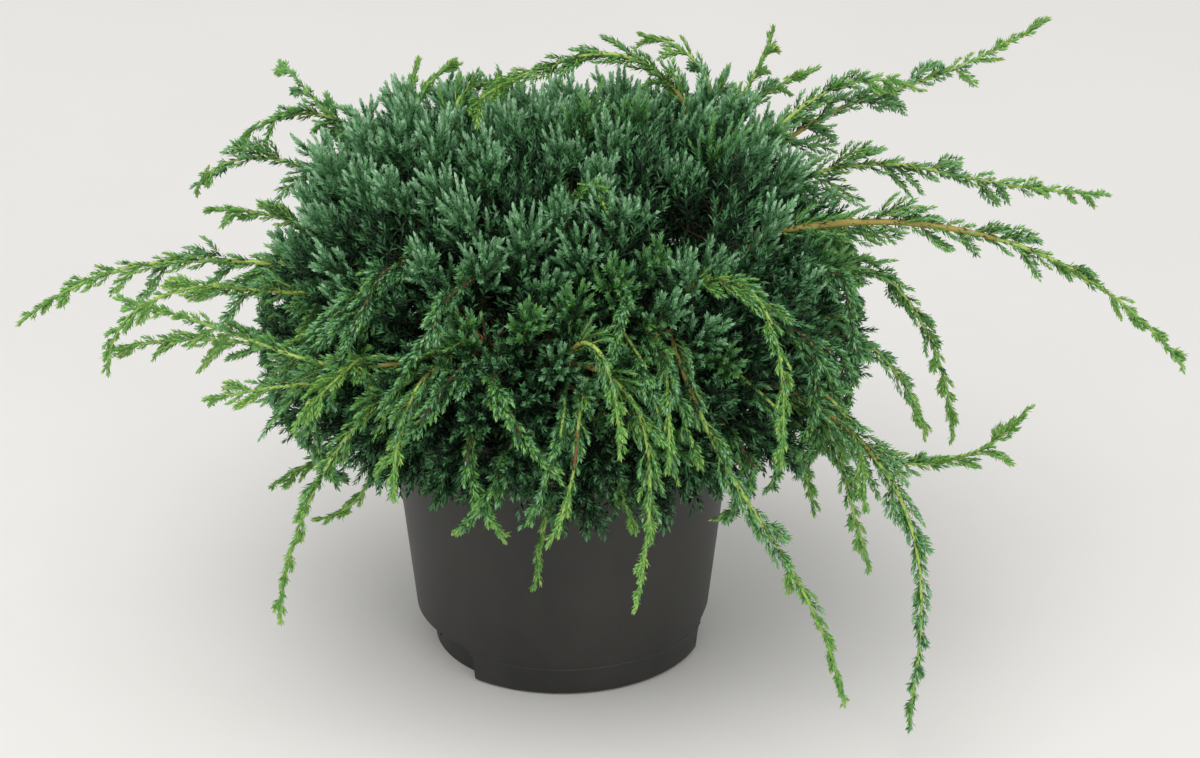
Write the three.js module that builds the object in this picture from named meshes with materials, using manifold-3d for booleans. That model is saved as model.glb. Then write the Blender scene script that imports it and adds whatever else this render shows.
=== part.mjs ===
// Blue star juniper, grown wide and trailing in a round plastic nursery pot.
// Millimetres, +Z up. The origin is the middle of the pot's flat underside,
// +X is to the right of the plant and +Y is towards its back.

import * as THREE from 'three';
import { mergeVertices } from 'three/addons/utils/BufferGeometryUtils.js';
import Module from 'manifold-3d';

const wasm = await Module();
wasm.setup();

// ---------------------------------------------------------------- driving sizes

const FIT_GAP = 0.35; // between two solids that meet

const POT_HEIGHT = 180;
const POT_BASE_RADIUS = 88;
const POT_TAPER = 0.116; // radius gained for each millimetre of height
const POT_WALL = 1.8;
const POT_FLOOR = 3;
const POT_SIDES = 30;
const ABOVE_POT = POT_HEIGHT + 1; // where the cut of its open top ends
const COLLAR_BOTTOM = 152;
const COLLAR_STEP = 1.5;
const LIP_BOTTOM = 176;
const LIP_RADIUS = 113;
const FOOT_EDGE = 2.5; // small chamfer round the underside

const RECESS_INNER_RADIUS = 79; // the two wide openings at the foot
const RECESS_HEIGHT = 22;
const RECESS_WIDTH = 73; // degrees
const RECESS_HEADINGS = [196, 16];
const RECESS_STEPS = 7; // straight stretches along each curve of an opening
const SIDE_DRAIN = { radius: 5.5, height: 11 };
const FLOOR_DRAIN = { radius: 5, ring: 58, count: 5 };
const DRAIN_SIDES = 10;

const SOIL_LEVEL = 165; // at the stem
const SOIL_EDGE_DROP = 3;
const SOIL_FLAT_RADIUS = 20;

const TRUNK_TOP = 240;
const TRUNK_FLARE_RADIUS = 14;
const TRUNK_NECK = 178; // height where the root flare ends
const TRUNK_NECK_RADIUS = 9;
const TRUNK_TOP_RADIUS = 6.5;
const TRUNK_CROWN = 3; // height of the rounded end above the last bough
const TRUNK_FLARE_DROP = 2; // how far the flare is hollowed between foot and neck
const TRUNK_SIDES = 14;

const BOUGH_ROOT_RADIUS = 3.4;
const BOUGH_TIP_RADIUS = 2;
const BOUGH_SIDES = 5;
const BOUGH_STEPS = 5;
const BOUGH_OUT = 0.6; // how far out, and how far up, a bough makes its bend
const BOUGH_UP = 0.25;

const CLEARANCE_SIDES = 4; // of the space cut out of the foliage for a limb
const CLEARANCE_MARGIN = 1;

const MOUND_CENTRE = new THREE.Vector3(0, 0, 190);
const MOUND_RADII = new THREE.Vector3(185, 185, 168); // reach of the leafy mound
const CORE_RADII = new THREE.Vector3(156, 156, 141); // reach of its dense middle

// Where the mound swells or sinks in: the direction from its centre, the share
// of its reach that is gained there, and how soon that fades to the sides.
const MOUND_SWELLS = [
  { towards: new THREE.Vector3(-0.62, 0.26, 0.74), gain: 0.12, spread: 0.14 }, // left dome
  { towards: new THREE.Vector3(0.62, 0.26, 0.74), gain: 0.1, spread: 0.12 }, // right dome
  { towards: new THREE.Vector3(0, 0.34, 0.94), gain: -0.14, spread: 0.1 }, // valley between them
  { towards: new THREE.Vector3(0, 0, -1), gain: -1.1, spread: 0.35 }, // drawn in over the rim
];
const CORE_BOTTOM = 168;
const RIM_CLEARANCE = 4; // between the pot's rim and the dense masses over it
const CORE_DETAIL = 2;
const DISTANCE_HALVINGS = 24;
const MASS_MARGIN = 1.2; // each mass keeps this far from the planes between masses

const MOUND_SPRAYS = 246;
const MOUND_SPRAY_RADIUS = 12;
const MOUND_SPRAY_FITS = [1, 0.75, 0.5]; // shares of that radius, tried in turn where space is short
const MOUND_SPRAY_REACH = 0.95; // shortest reach, of the mound's own, and what chance adds to it
const MOUND_SPRAY_REACH_STRAY = 0.1;
const MOUND_SPRAY_SINK = 14; // how deep its root is set in the dense middle
const MOUND_SPRAY_LOWEST = -0.16; // the lowest sprays, from the mound's centre (0) to its top (1)
const MOUND_SPRAY_LIFT = [-0.35, 0.55]; // how far the lowest hang down, and the others turn up
const MOUND_SPRAY_EASE = [-0.1, 0.4]; // heights between which one passes into the other
const MOUND_SPRAY_STRAY = 0.4; // random turn to either side
const BURIED_REACH = 1.1; // shoots are cut clear of the dense middle up to here
const SHOOT_SPRAY_REACH = 0.93; // share of the mound's reach where a shoot's side sprays begin

const SHOOT_SPRAY_LENGTH = 34;
const SHOOT_SPRAY_SIZES = [0.75, 1.25]; // least and greatest share of that length
const SHOOT_SPRAY_TAPER = [1.15, 0.75]; // share of it at the root and at the tip of the shoot
const SHOOT_SPRAY_RADIUS = 3.6;
const SHOOT_SPRAY_PITCH = 31; // from one side spray to the next along a shoot
const SHOOT_SPRAY_LEAN = 36; // degrees off the shoot
const SHOOT_SPRAY_STRAY = 70; // degrees of random turn round the shoot
const SHOOT_SPRAY_LEAN_STRAY = 0.2; // share of that turn by which the lean strays
const STUB_LENGTH = 6; // straight start of a set of shoots
const SHOOT_STEPS = 40;
const SHOOT_TIP_RADIUS = 0.9;
const SHOOT_SIDES = 3;
const SHOOT_BEND_PITCH = 55; // length of stem to each straight stretch
const TIP_SPRAY_LENGTH = 24;
const TIP_SPRAY_RADIUS = 3;
const LEAST_HEIGHT = 12; // nothing green hangs lower than this

const SPRAY_SIDES = 3;
const SPRAY_MIDDLE = 0.5; // height of a spray's widest points, as a share of its length
const SPRAY_NECK = { radius: 0.42, height: 0.44 }; // its slim core above them
const LARGEST_ROLL = 2; // radians of random turn about a spray's own axis

// Each bough: where its tip is, and how high on the trunk it leaves.
const BOUGHS = {
  right_high: { tip: [120, -20, 276], leaves: 212 },
  right_low: { tip: [143, -30, 232], leaves: 182 },
  back_right: { tip: [110, 74, 270], leaves: 202 },
  front_right_low: { tip: [124, -92, 214], leaves: 192 },
  front_right_high: { tip: [62, -118, 262], leaves: 212 },
  front: { tip: [5, -138, 250], leaves: 182 },
  front_left: { tip: [-48, -128, 264], leaves: 202 },
  left_front: { tip: [-120, -90, 218], leaves: 182 },
  left: { tip: [-136, -22, 252], leaves: 192 },
  back_left: { tip: [-105, 84, 262], leaves: 182 },
  back: { tip: [-45, 130, 238], leaves: 192 },
  top_left: { tip: [-62, 20, 316], leaves: 226 },
  top_right: { tip: [78, 47, 304], leaves: 226 },
  top_front: { tip: [0, -58, 304], leaves: 226 },
};

// The middle of each dense mass of foliage: heading in degrees from +X,
// distance from the trunk's axis, and height.
const MASSES = {
  right: [0, 95, 222],
  back_right: [60, 95, 222],
  back_left: [120, 95, 222],
  left: [180, 95, 222],
  front_left: [240, 95, 222],
  front_right: [300, 95, 222],
  top_right: [30, 52, 290],
  top_left: [150, 52, 290],
  top_front: [270, 52, 290],
};

// The long shoots. A set leaves its bough at a share of the bough's length, on
// the side given in degrees round the bough (0 is its upper side), or at the
// tip when `at` is 1. Each shoot turns from its first heading to its last, and
// its pitch above the level goes through three values, from root to tip.
const LONG_SHOOTS = {
  right_arch: { bough: 'right_high', at: 1, radius: 2.6, shoots: [[[10, -20], [10, -15, -50], 280]] },
  right_low: { bough: 'right_low', at: 1, radius: 1.6, shoots: [[[45, -55], [-30, -45, -60], 120]] },
  right_drop: {
    bough: 'right_low', at: 0.9, side: -105, radius: 1.6,
    shoots: [[[55, -45], [50, -55, -85], 205]],
  },
  right_rise: {
    bough: 'back_right', at: 1, radius: 1.8,
    shoots: [[[45, 20], [25, 0, 25], 230], [[40, 25], [55, 15, -30], 140]],
  },
  right_back: {
    bough: 'back_right', at: 0.88, side: 105, radius: 1.7,
    shoots: [[[0, 30], [40, -20, -15], 260]],
  },
  right_back_top: {
    bough: 'back_right', at: 0.8, side: -75, radius: 1.5,
    shoots: [[[75, 15], [55, 35, 10], 125]],
  },
  front_right_long: {
    bough: 'front_right_low', at: 1, radius: 1.9,
    shoots: [[[5, -135], [-25, -50, -85], 245]],
  },
  front_right_fan: {
    bough: 'front_right_low', at: 0.9, side: -150, radius: 1.6,
    shoots: [
      [[5, -95], [30, -40, -85], 120],
      [[-10, -35], [0, -75, -70], 140],
      [[45, -60], [-50, -65, -75], 90],
    ],
  },
  front_right_hook: {
    bough: 'front_right_low', at: 0.78, side: -105, radius: 1.6,
    shoots: [[[5, 0], [-45, -20, 60], 205]],
  },
  front_right_fall: {
    bough: 'front_right_high', at: 1, radius: 1.8,
    shoots: [[[-65, -10], [-50, -45, -80], 250]],
  },
  front_right_arch: {
    bough: 'front_right_high', at: 0.9, side: -60, radius: 1.5,
    shoots: [[[15, -115], [85, -55, -85], 180]],
  },
  front_right_drop: {
    bough: 'front_right_high', at: 0.82, side: 90, radius: 1.5,
    shoots: [[[-65, -95], [65, -40, -85], 130]],
  },
  front_fall: {
    bough: 'front', at: 1, radius: 1.7,
    shoots: [
      [[-15, -145], [5, -75, -75], 175],
      [[-45, -80], [85, -50, -85], 105],
      [[-5, 10], [-45, -85, -65], 120],
    ],
  },
  front_drop: {
    bough: 'front', at: 0.88, side: 165, radius: 1.6,
    shoots: [[[-60, -160], [35, -75, -60], 120], [[170, 240], [-85, -80, -75], 130]],
  },
  front_left_sweep: {
    bough: 'front_left', at: 1, radius: 1.8,
    shoots: [[[-185, -225], [-35, 10, -10], 255]],
  },
  front_left_drop: {
    bough: 'front_left', at: 0.9, side: 150, radius: 1.5,
    shoots: [[[-145, -95], [20, -40, -80], 120]],
  },
  front_left_fall: {
    bough: 'front_left', at: 0.8, side: 135, radius: 1.6,
    shoots: [[[-155, -140], [5, -50, -85], 220]],
  },
  left_fan: {
    bough: 'left_front', at: 1, radius: 1.6,
    shoots: [[[-120, -230], [20, -5, -40], 105], [[-55, -175], [65, 0, -65], 110]],
  },
  left_level: {
    bough: 'left_front', at: 0.9, side: 105, radius: 1.5,
    shoots: [[[120, 190], [-10, 0, -10], 185]],
  },
  left_under: {
    bough: 'left_front', at: 0.85, side: 150, radius: 1.5,
    shoots: [[[150, 195], [-85, -85, -5], 105], [[80, 215], [-65, -40, -20], 125]],
  },
  left_arch: { bough: 'left', at: 1, radius: 1.9, shoots: [[[-205, -160], [0, -5, -35], 200]] },
  left_hook: {
    bough: 'left', at: 0.9, side: -90, radius: 1.7,
    shoots: [[[-115, -210], [25, 15, -90], 215], [[-60, -210], [30, -10, -50], 100]],
  },
  left_back: { bough: 'left', at: 0.85, side: 90, radius: 1.4, shoots: [[[115, 180], [30, 10, -5], 125]] },
  back_left_fan: {
    bough: 'back_left', at: 1, radius: 1.5,
    shoots: [[[-160, -205], [15, 15, -65], 135], [[125, 190], [60, 0, -45], 125]],
  },
  back_left_rise: {
    bough: 'back_left', at: 0.9, side: 165, radius: 1.5,
    shoots: [[[140, 120], [40, 30, 5], 140]],
  },
  back_left_fall: {
    bough: 'back_left', at: 0.8, side: 75, radius: 1.6,
    shoots: [[[105, 100], [25, -15, -65], 135]],
  },
  back_fall: { bough: 'back', at: 1, radius: 1.7, shoots: [[[110, 85], [35, -10, -65], 125]] },
  back_right_fall: {
    bough: 'back', at: 0.85, side: 75, radius: 1.6,
    shoots: [[[50, 70], [25, -10, -65], 125]],
  },
  top_left_curl: { bough: 'top_left', at: 1, radius: 1.3, shoots: [[[135, -80], [85, 35, -10], 65]] },
  top_left_rise: {
    bough: 'top_left', at: 0.85, side: 120, radius: 1.3,
    shoots: [[[155, 65], [-5, 30, 60], 105], [[170, 25], [20, 25, 25], 110]],
  },
  top_right_arch: {
    bough: 'top_right', at: 1, radius: 1.7,
    shoots: [[[150, 250], [85, -5, 0], 200], [[40, 195], [40, 30, 15], 100]],
  },
  top_right_rise: {
    bough: 'top_right', at: 0.85, side: -135, radius: 1.4,
    shoots: [[[65, 35], [-5, 35, 70], 130]],
  },
  top_front_rise: { bough: 'top_front', at: 1, radius: 1.2, shoots: [[[-60, -40], [70, 40, 10], 55]] },
};

const FINISHES = {
  pot: { color: 0x3b3a38, roughness: 0.55, metalness: 0 },
  soil: { color: 0x2b211a, roughness: 1, metalness: 0 },
  bark: { color: 0x7a5236, roughness: 0.9, metalness: 0 },
  mound: { color: 0x4f8570, roughness: 0.8, metalness: 0 },
  shoot: { color: 0x6b9a58, roughness: 0.75, metalness: 0 },
};

// ---------------------------------------------------------------- small helpers

const UP = new THREE.Vector3(0, 0, 1);
const Y_AXIS = new THREE.Vector3(0, 1, 0);
const radians = THREE.MathUtils.degToRad;

/** A seeded stream of numbers from 0 to 1. */
function randomStream(seed) {
  let state = seed >>> 0;
  return () => {
    state = (state + 0x6d2b79f5) >>> 0;
    let mixed = Math.imul(state ^ (state >>> 15), 1 | state);
    mixed = (mixed + Math.imul(mixed ^ (mixed >>> 7), 61 | mixed)) ^ mixed;
    return ((mixed ^ (mixed >>> 14)) >>> 0) / 2 ** 32;
  };
}

/** The direction with a heading from +X and a pitch above the level, in degrees. */
function direction(heading, pitch) {
  const level = Math.cos(radians(pitch));
  const across = level * Math.cos(radians(heading));
  const along = level * Math.sin(radians(heading));
  return new THREE.Vector3(across, along, Math.sin(radians(pitch)));
}

/** A direction turned from one direction towards another by an angle in radians. */
function leaning(from, towards, angle) {
  return from.clone().multiplyScalar(Math.cos(angle)).addScaledVector(towards, Math.sin(angle));
}

/** The value at a share of the way through an evenly spaced list. */
function through(values, share) {
  const place = THREE.MathUtils.clamp(share, 0, 1) * (values.length - 1);
  const first = Math.min(Math.floor(place), values.length - 2);
  return THREE.MathUtils.lerp(values[first], values[first + 1], place - first);
}

/** A closed three.js geometry as a solid that can be joined and cut. */
function solid(geometry) {
  const bare = geometry.clone();
  bare.deleteAttribute('normal');
  bare.deleteAttribute('uv');
  const merged = mergeVertices(bare, 1e-4);
  const corners = merged.index.array;
  const kept = [];
  for (let i = 0; i < corners.length; i += 3) {
    const [a, b, c] = corners.slice(i, i + 3);
    if (a !== b && b !== c && c !== a) kept.push(a, b, c);
  }
  const vertProperties = new Float32Array(merged.attributes.position.array);
  const triVerts = new Uint32Array(kept);
  return new wasm.Manifold(new wasm.Mesh({ numProp: 3, vertProperties, triVerts }));
}

/** All the solids joined into one, without loose scraps or sealed hollows. */
function fused(solids) {
  const joined = solids.reduce((whole, piece) => whole.add(piece));
  return largestPiece(joined);
}

/** The largest separate body of a solid. */
function largestPiece(whole) {
  return whole.decompose().reduce((best, piece) => (piece.volume() > best.volume() ? piece : best));
}

/** A named mesh made from a solid. */
function meshOf(name, whole, finish) {
  const { vertProperties, triVerts } = whole.getMesh();
  const geometry = new THREE.BufferGeometry();
  geometry.setAttribute('position', new THREE.BufferAttribute(vertProperties, 3));
  geometry.setIndex(new THREE.BufferAttribute(triVerts, 1));
  geometry.computeVertexNormals();
  const mesh = new THREE.Mesh(geometry, new THREE.MeshStandardMaterial(FINISHES[finish]));
  mesh.name = name;
  return mesh;
}

/** A turned solid: profile points are [radius, height], from axis to axis. */
function turned(points, sides) {
  const profile = points.map(([radius, height]) => new THREE.Vector2(radius, height));
  const geometry = new THREE.LatheGeometry(profile, sides);
  geometry.rotateX(Math.PI / 2);
  return solid(geometry);
}

/** A closed limb with round sections along a line of points. */
function limb(points, radii, sides) {
  const steps = points.length - 1;
  const geometry = new THREE.CylinderGeometry(1, 1, 1, sides, steps);
  const frames = framesAlong(points);
  const place = geometry.attributes.position;
  const at = new THREE.Vector3();
  for (let i = 0; i < place.count; i += 1) {
    const station = Math.round((0.5 + place.getY(i)) * steps);
    const { normal, across } = frames[station];
    const radius = radii[station];
    at.copy(points[station]);
    at.addScaledVector(normal, place.getX(i) * radius);
    at.addScaledVector(across, place.getZ(i) * radius);
    place.setXYZ(i, at.x, at.y, at.z);
  }
  return solid(geometry);
}

/** The space that a limb needs where it passes through foliage, from just behind its root. */
function clearanceTube(points, radii) {
  const widened = points.map((_, i) => radii[i] / Math.cos(Math.PI / CLEARANCE_SIDES) + CLEARANCE_MARGIN);
  const backwards = points[0].clone().sub(points[1]).setLength(CLEARANCE_MARGIN);
  const root = points[0].clone().add(backwards);
  return limb([root, ...points.slice(1)], widened, CLEARANCE_SIDES);
}

/** Tangent, normal and cross direction at each point of a line, without twist. */
function framesAlong(points) {
  const last = points.length - 1;
  const frames = [];
  for (let i = 0; i <= last; i += 1) {
    const before = points[Math.max(i - 1, 0)];
    const after = points[Math.min(i + 1, last)];
    const tangent = after.clone().sub(before).normalize();
    const aside = Math.abs(tangent.z) < 0.9 ? UP : Y_AXIS;
    const normal = tangent.clone().cross(aside).normalize();
    if (i > 0) {
      const bend = new THREE.Quaternion().setFromUnitVectors(frames[i - 1].tangent, tangent);
      normal.copy(frames[i - 1].normal).applyQuaternion(bend);
    }
    frames.push({ tangent, normal, across: normal.clone().cross(tangent) });
  }
  return frames;
}

/** One spray of needles: a slim core with a row of points standing out of it. */
function spray(root, heading, length, radius, roll) {
  const profile = [
    new THREE.Vector2(0, 0),
    new THREE.Vector2(radius, length * SPRAY_MIDDLE),
    new THREE.Vector2(radius * SPRAY_NECK.radius, length * SPRAY_NECK.height),
    new THREE.Vector2(0, length),
  ];
  const geometry = new THREE.LatheGeometry(profile, SPRAY_SIDES);
  geometry.rotateY(roll);
  geometry.applyQuaternion(new THREE.Quaternion().setFromUnitVectors(Y_AXIS, heading));
  geometry.translate(root.x, root.y, root.z);
  return solid(geometry);
}

/** The least distance between the stretches a-b and c-d. */
function gapBetween(a, b, c, d) {
  const u = b.clone().sub(a);
  const v = d.clone().sub(c);
  const w = a.clone().sub(c);
  const uu = u.dot(u);
  const uv = u.dot(v);
  const vv = v.dot(v);
  const uw = u.dot(w);
  const vw = v.dot(w);
  const spread = uu * vv - uv * uv;
  let s = spread > 1e-9 ? THREE.MathUtils.clamp((uv * vw - vv * uw) / spread, 0, 1) : 0;
  const t = THREE.MathUtils.clamp((uv * s + vw) / vv, 0, 1);
  s = THREE.MathUtils.clamp((uv * t - uw) / uu, 0, 1);
  return w.addScaledVector(u, s).addScaledVector(v, -t).length();
}

/** Remembers the space that limbs and sprays take up, and who owns it. */
class Space {
  constructor() {
    this.taken = [];
  }

  add(owner, from, to, radius) {
    this.taken.push({ owner, from: from.clone(), to: to.clone(), radius });
  }

  addLine(owner, points, radii) {
    for (let i = 1; i < points.length; i += 1) {
      this.add(owner, points[i - 1], points[i], Math.max(radii[i - 1], radii[i]));
    }
  }

  isFree(owner, from, to, radius) {
    return this.taken.every((other) => {
      if (other.owner === owner) return true;
      const clear = radius + other.radius + FIT_GAP;
      const near = from.distanceTo(other.from) - from.distanceTo(to) - other.from.distanceTo(other.to);
      return near > clear || gapBetween(from, to, other.from, other.to) > clear;
    });
  }
}

// ---------------------------------------------------------------- pot and soil

/** The outside radius of the pot's wall at a height. */
function wallRadius(height) {
  const collar = height >= COLLAR_BOTTOM ? COLLAR_STEP : 0;
  return POT_BASE_RADIUS + POT_TAPER * height + collar;
}

/** The space of the two openings at the pot's foot, grown by a margin. */
function recesses(margin) {
  const outer = LIP_RADIUS;
  const inner = RECESS_INNER_RADIUS - margin;
  const half = radians(RECESS_WIDTH / 2) + margin / inner;
  return RECESS_HEADINGS.map((heading) => {
    const middle = radians(heading);
    const outline = new THREE.Shape();
    outline.absarc(0, 0, outer, middle - half, middle + half, false);
    outline.absarc(0, 0, inner, middle + half, middle - half, true);
    const depth = RECESS_HEIGHT + margin + 1;
    const settings = { depth, bevelEnabled: false, curveSegments: RECESS_STEPS };
    const geometry = new THREE.ExtrudeGeometry(outline, settings);
    geometry.translate(0, 0, -1);
    return solid(geometry);
  });
}

/** The space inside the pot, less a margin all round. */
function potInside(margin, top, profileTop) {
  const inset = POT_WALL + margin;
  const floor = POT_FLOOR + margin;
  const hollow = turned([
    [0, floor],
    [wallRadius(floor) - inset, floor],
    [wallRadius(COLLAR_BOTTOM - 1) - inset, COLLAR_BOTTOM - 1],
    [wallRadius(COLLAR_BOTTOM) - inset, COLLAR_BOTTOM],
    [wallRadius(top) - inset, top],
    ...profileTop,
  ], POT_SIDES);
  return recesses(inset).reduce((whole, recess) => whole.subtract(recess), hollow);
}

/** Round holes that let water out of the pot. */
function drains() {
  const holes = [];
  for (let i = 0; i < FLOOR_DRAIN.count; i += 1) {
    const place = direction((i * 360) / FLOOR_DRAIN.count, 0).multiplyScalar(FLOOR_DRAIN.ring);
    const { radius } = FLOOR_DRAIN;
    const hole = new THREE.CylinderGeometry(radius, radius, POT_FLOOR * 4, DRAIN_SIDES);
    hole.rotateX(Math.PI / 2);
    hole.translate(place.x, place.y, 0);
    holes.push(solid(hole));
  }
  for (const heading of RECESS_HEADINGS) {
    const { radius } = SIDE_DRAIN;
    const hole = new THREE.CylinderGeometry(radius, radius, POT_WALL * 4, DRAIN_SIDES);
    hole.rotateZ(Math.PI / 2);
    hole.translate(RECESS_INNER_RADIUS, 0, SIDE_DRAIN.height);
    hole.rotateZ(radians(heading));
    holes.push(solid(hole));
  }
  return holes;
}

/** The round pot, open at the top. */
function makePot() {
  const outside = turned([
    [0, 0],
    [POT_BASE_RADIUS - FOOT_EDGE, 0],
    [POT_BASE_RADIUS, FOOT_EDGE],
    [wallRadius(COLLAR_BOTTOM - 1), COLLAR_BOTTOM - 1],
    [wallRadius(COLLAR_BOTTOM), COLLAR_BOTTOM],
    [wallRadius(LIP_BOTTOM), LIP_BOTTOM],
    [LIP_RADIUS, LIP_BOTTOM + 1],
    [LIP_RADIUS, POT_HEIGHT],
    [0, POT_HEIGHT],
  ], POT_SIDES);
  const cutters = [...recesses(0), potInside(0, ABOVE_POT, [[0, ABOVE_POT]]), ...drains()];
  return cutters.reduce((whole, cutter) => whole.subtract(cutter), outside);
}

/** The potting soil, slightly domed, that fills the pot to just below its rim. */
function makeSoil() {
  const edge = SOIL_LEVEL - SOIL_EDGE_DROP;
  return potInside(FIT_GAP, edge, [[SOIL_FLAT_RADIUS, SOIL_LEVEL], [0, SOIL_LEVEL]]);
}

// ---------------------------------------------------------------- trunk and boughs

/** The trunk's radius at a height above its root flare. */
function trunkRadius(height) {
  const share = (height - TRUNK_NECK) / (TRUNK_TOP - TRUNK_NECK);
  return THREE.MathUtils.lerp(TRUNK_NECK_RADIUS, TRUNK_TOP_RADIUS, share);
}

/** The short stem that stands on the soil and carries every bough. */
function makeTrunk() {
  const foot = SOIL_LEVEL + FIT_GAP;
  return turned([
    [0, foot],
    [TRUNK_FLARE_RADIUS, foot],
    [(TRUNK_FLARE_RADIUS + TRUNK_NECK_RADIUS) / 2, (foot + TRUNK_NECK) / 2 - TRUNK_FLARE_DROP],
    [TRUNK_NECK_RADIUS, TRUNK_NECK],
    [TRUNK_TOP_RADIUS, TRUNK_TOP],
    [TRUNK_TOP_RADIUS / 2, TRUNK_TOP + TRUNK_CROWN],
    [0, TRUNK_TOP + TRUNK_CROWN],
  ], TRUNK_SIDES);
}

/** The curve of a bough, from the trunk's surface to its tip. */
function boughCurve({ tip, leaves }) {
  const end = new THREE.Vector3(...tip);
  const outward = new THREE.Vector3(end.x, end.y, 0).normalize();
  const bend = end.clone().multiplyScalar(BOUGH_OUT);
  bend.z = THREE.MathUtils.lerp(leaves, end.z, BOUGH_UP);
  const start = outward.clone().multiplyScalar(trunkRadius(leaves)).setZ(leaves);
  const first = bend.clone().sub(start).normalize();
  const tilt = Math.sqrt(1 - first.dot(outward) ** 2);
  start.addScaledVector(outward, FIT_GAP + BOUGH_ROOT_RADIUS * tilt);
  return new THREE.QuadraticBezierCurve3(start, bend, end);
}

/** A bough's radius at a share of its length. */
function boughRadius(share) {
  return THREE.MathUtils.lerp(BOUGH_ROOT_RADIUS, BOUGH_TIP_RADIUS, share);
}

/** The points and radii along a bough. */
function boughLine(curve) {
  const points = [];
  const radii = [];
  for (let i = 0; i <= BOUGH_STEPS; i += 1) {
    points.push(curve.getPoint(i / BOUGH_STEPS));
    radii.push(boughRadius(i / BOUGH_STEPS));
  }
  return { points, radii };
}

// ---------------------------------------------------------------- long shoots

/** Where a set of long shoots leaves its bough, and which way its stub points. */
function shootRoot({ bough, at, side = 0 }, curves) {
  const curve = curves[bough];
  const point = curve.getPoint(at);
  const along = curve.getTangent(at);
  if (at === 1) return { contact: point.addScaledVector(along, FIT_GAP), outward: along };
  const aside = along.clone().cross(UP).normalize();
  const upper = aside.clone().cross(along);
  const outward = leaning(upper, aside, radians(side));
  return { contact: point.addScaledVector(outward, boughRadius(at) + FIT_GAP), outward };
}

/** The points of one long shoot, from its stub to its tip. */
function shootPoints(start, [turn, pitch, length]) {
  const points = [start.clone()];
  for (let i = 0; i < SHOOT_STEPS; i += 1) {
    const share = (i + 0.5) / SHOOT_STEPS;
    const step = direction(through(turn, share), through(pitch, share));
    points.push(points[i].clone().addScaledVector(step, length / SHOOT_STEPS));
  }
  return points;
}

/** A long shoot's stem: it thins towards a tip that swells into a last spray. */
function shootStem(start, shoot, radius) {
  const fine = shootPoints(start, shoot);
  const length = shoot[2];
  const bare = 1 - TIP_SPRAY_LENGTH / length;
  const count = Math.round(2 + length / SHOOT_BEND_PITCH);
  const points = [];
  const radii = [];
  for (let i = 0; i <= count; i += 1) {
    points.push(pointAlong(fine, (bare * i) / count));
    radii.push(THREE.MathUtils.lerp(radius, SHOOT_TIP_RADIUS, i / count));
  }
  points.push(pointAlong(fine, (bare + 1) / 2), fine[SHOOT_STEPS]);
  radii.push(TIP_SPRAY_RADIUS, SHOOT_TIP_RADIUS / 3);
  return { points, radii, fine, length };
}

/** The point at a share of the way along an evenly stepped line. */
function pointAlong(points, share) {
  const place = share * (points.length - 1);
  const first = Math.min(Math.floor(place), points.length - 2);
  return points[first].clone().lerp(points[first + 1], place - first);
}

/** The stems of one set of long shoots. The first of them holds the stub that they share. */
function shootStems(set, curves) {
  const { contact, outward } = shootRoot(set, curves);
  const start = contact.clone().addScaledVector(outward, STUB_LENGTH);
  const stems = set.shoots.map((shoot) => shootStem(start, shoot, set.radius));
  stems[0].points.unshift(contact);
  stems[0].radii.unshift(set.radius);
  return stems;
}

/** The share of its plain reach that the mound has in a direction. */
function swellOf(outward) {
  const gains = MOUND_SWELLS.map(({ towards, gain, spread }) => {
    const off = outward.dot(towards) - 1;
    return gain * Math.exp(off / spread);
  });
  return gains.reduce((whole, gain) => whole + gain, 1);
}

/** How far out a point lies in the mound, or in its middle with smaller radii: 1 is the surface. */
function reachOf(point, radii) {
  const place = point.clone().sub(MOUND_CENTRE).divide(radii);
  const reach = place.length();
  return reach / swellOf(place.divideScalar(reach));
}

/** The side sprays of a long shoot, where there is space. */
function shootSprays(owner, stem, space, random) {
  const sprays = [];
  const frames = framesAlong(stem.fine);
  const count = Math.floor((stem.length - SHOOT_SPRAY_LENGTH / 2) / SHOOT_SPRAY_PITCH);
  for (let i = 1; i <= count; i += 1) {
    const station = Math.round((i / (count + 1)) * SHOOT_STEPS);
    const { tangent, normal, across } = frames[station];
    const roll = 90 + (i % 2) * 180 + (random() - 0.5) * SHOOT_SPRAY_STRAY;
    const lean = SHOOT_SPRAY_LEAN + (random() - 0.5) * SHOOT_SPRAY_STRAY * SHOOT_SPRAY_LEAN_STRAY;
    const heading = leaning(tangent, leaning(normal, across, radians(roll)), radians(lean));
    const size = THREE.MathUtils.lerp(...SHOOT_SPRAY_SIZES, random());
    const length = SHOOT_SPRAY_LENGTH * size * THREE.MathUtils.lerp(...SHOOT_SPRAY_TAPER, i / count);
    const root = stem.fine[station];
    const tip = root.clone().addScaledVector(heading, length);
    const outside = reachOf(root, MOUND_RADII) > SHOOT_SPRAY_REACH && tip.z > LEAST_HEIGHT;
    const twist = random() * LARGEST_ROLL;
    if (!outside || !space.isFree(owner, root, tip, SHOOT_SPRAY_RADIUS)) continue;
    sprays.push(spray(root, heading, length, SHOOT_SPRAY_RADIUS, twist));
    space.add(owner, root, tip, SHOOT_SPRAY_RADIUS);
  }
  return sprays;
}

// ---------------------------------------------------------------- dense masses

/** The middle of a mass. */
function massCentre([heading, distance, height]) {
  return direction(heading, 0).multiplyScalar(distance).setZ(height);
}

/** The distance along a ray from a point inside the mound to where its reach is the given one. */
function distanceOut(from, along, radii, reach) {
  let near = 0;
  let far = 2 * radii.x;
  for (let i = 0; i < DISTANCE_HALVINGS; i += 1) {
    const middle = (near + far) / 2;
    if (reachOf(from.clone().addScaledVector(along, middle), radii) < reach) near = middle;
    else far = middle;
  }
  return near;
}

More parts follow.
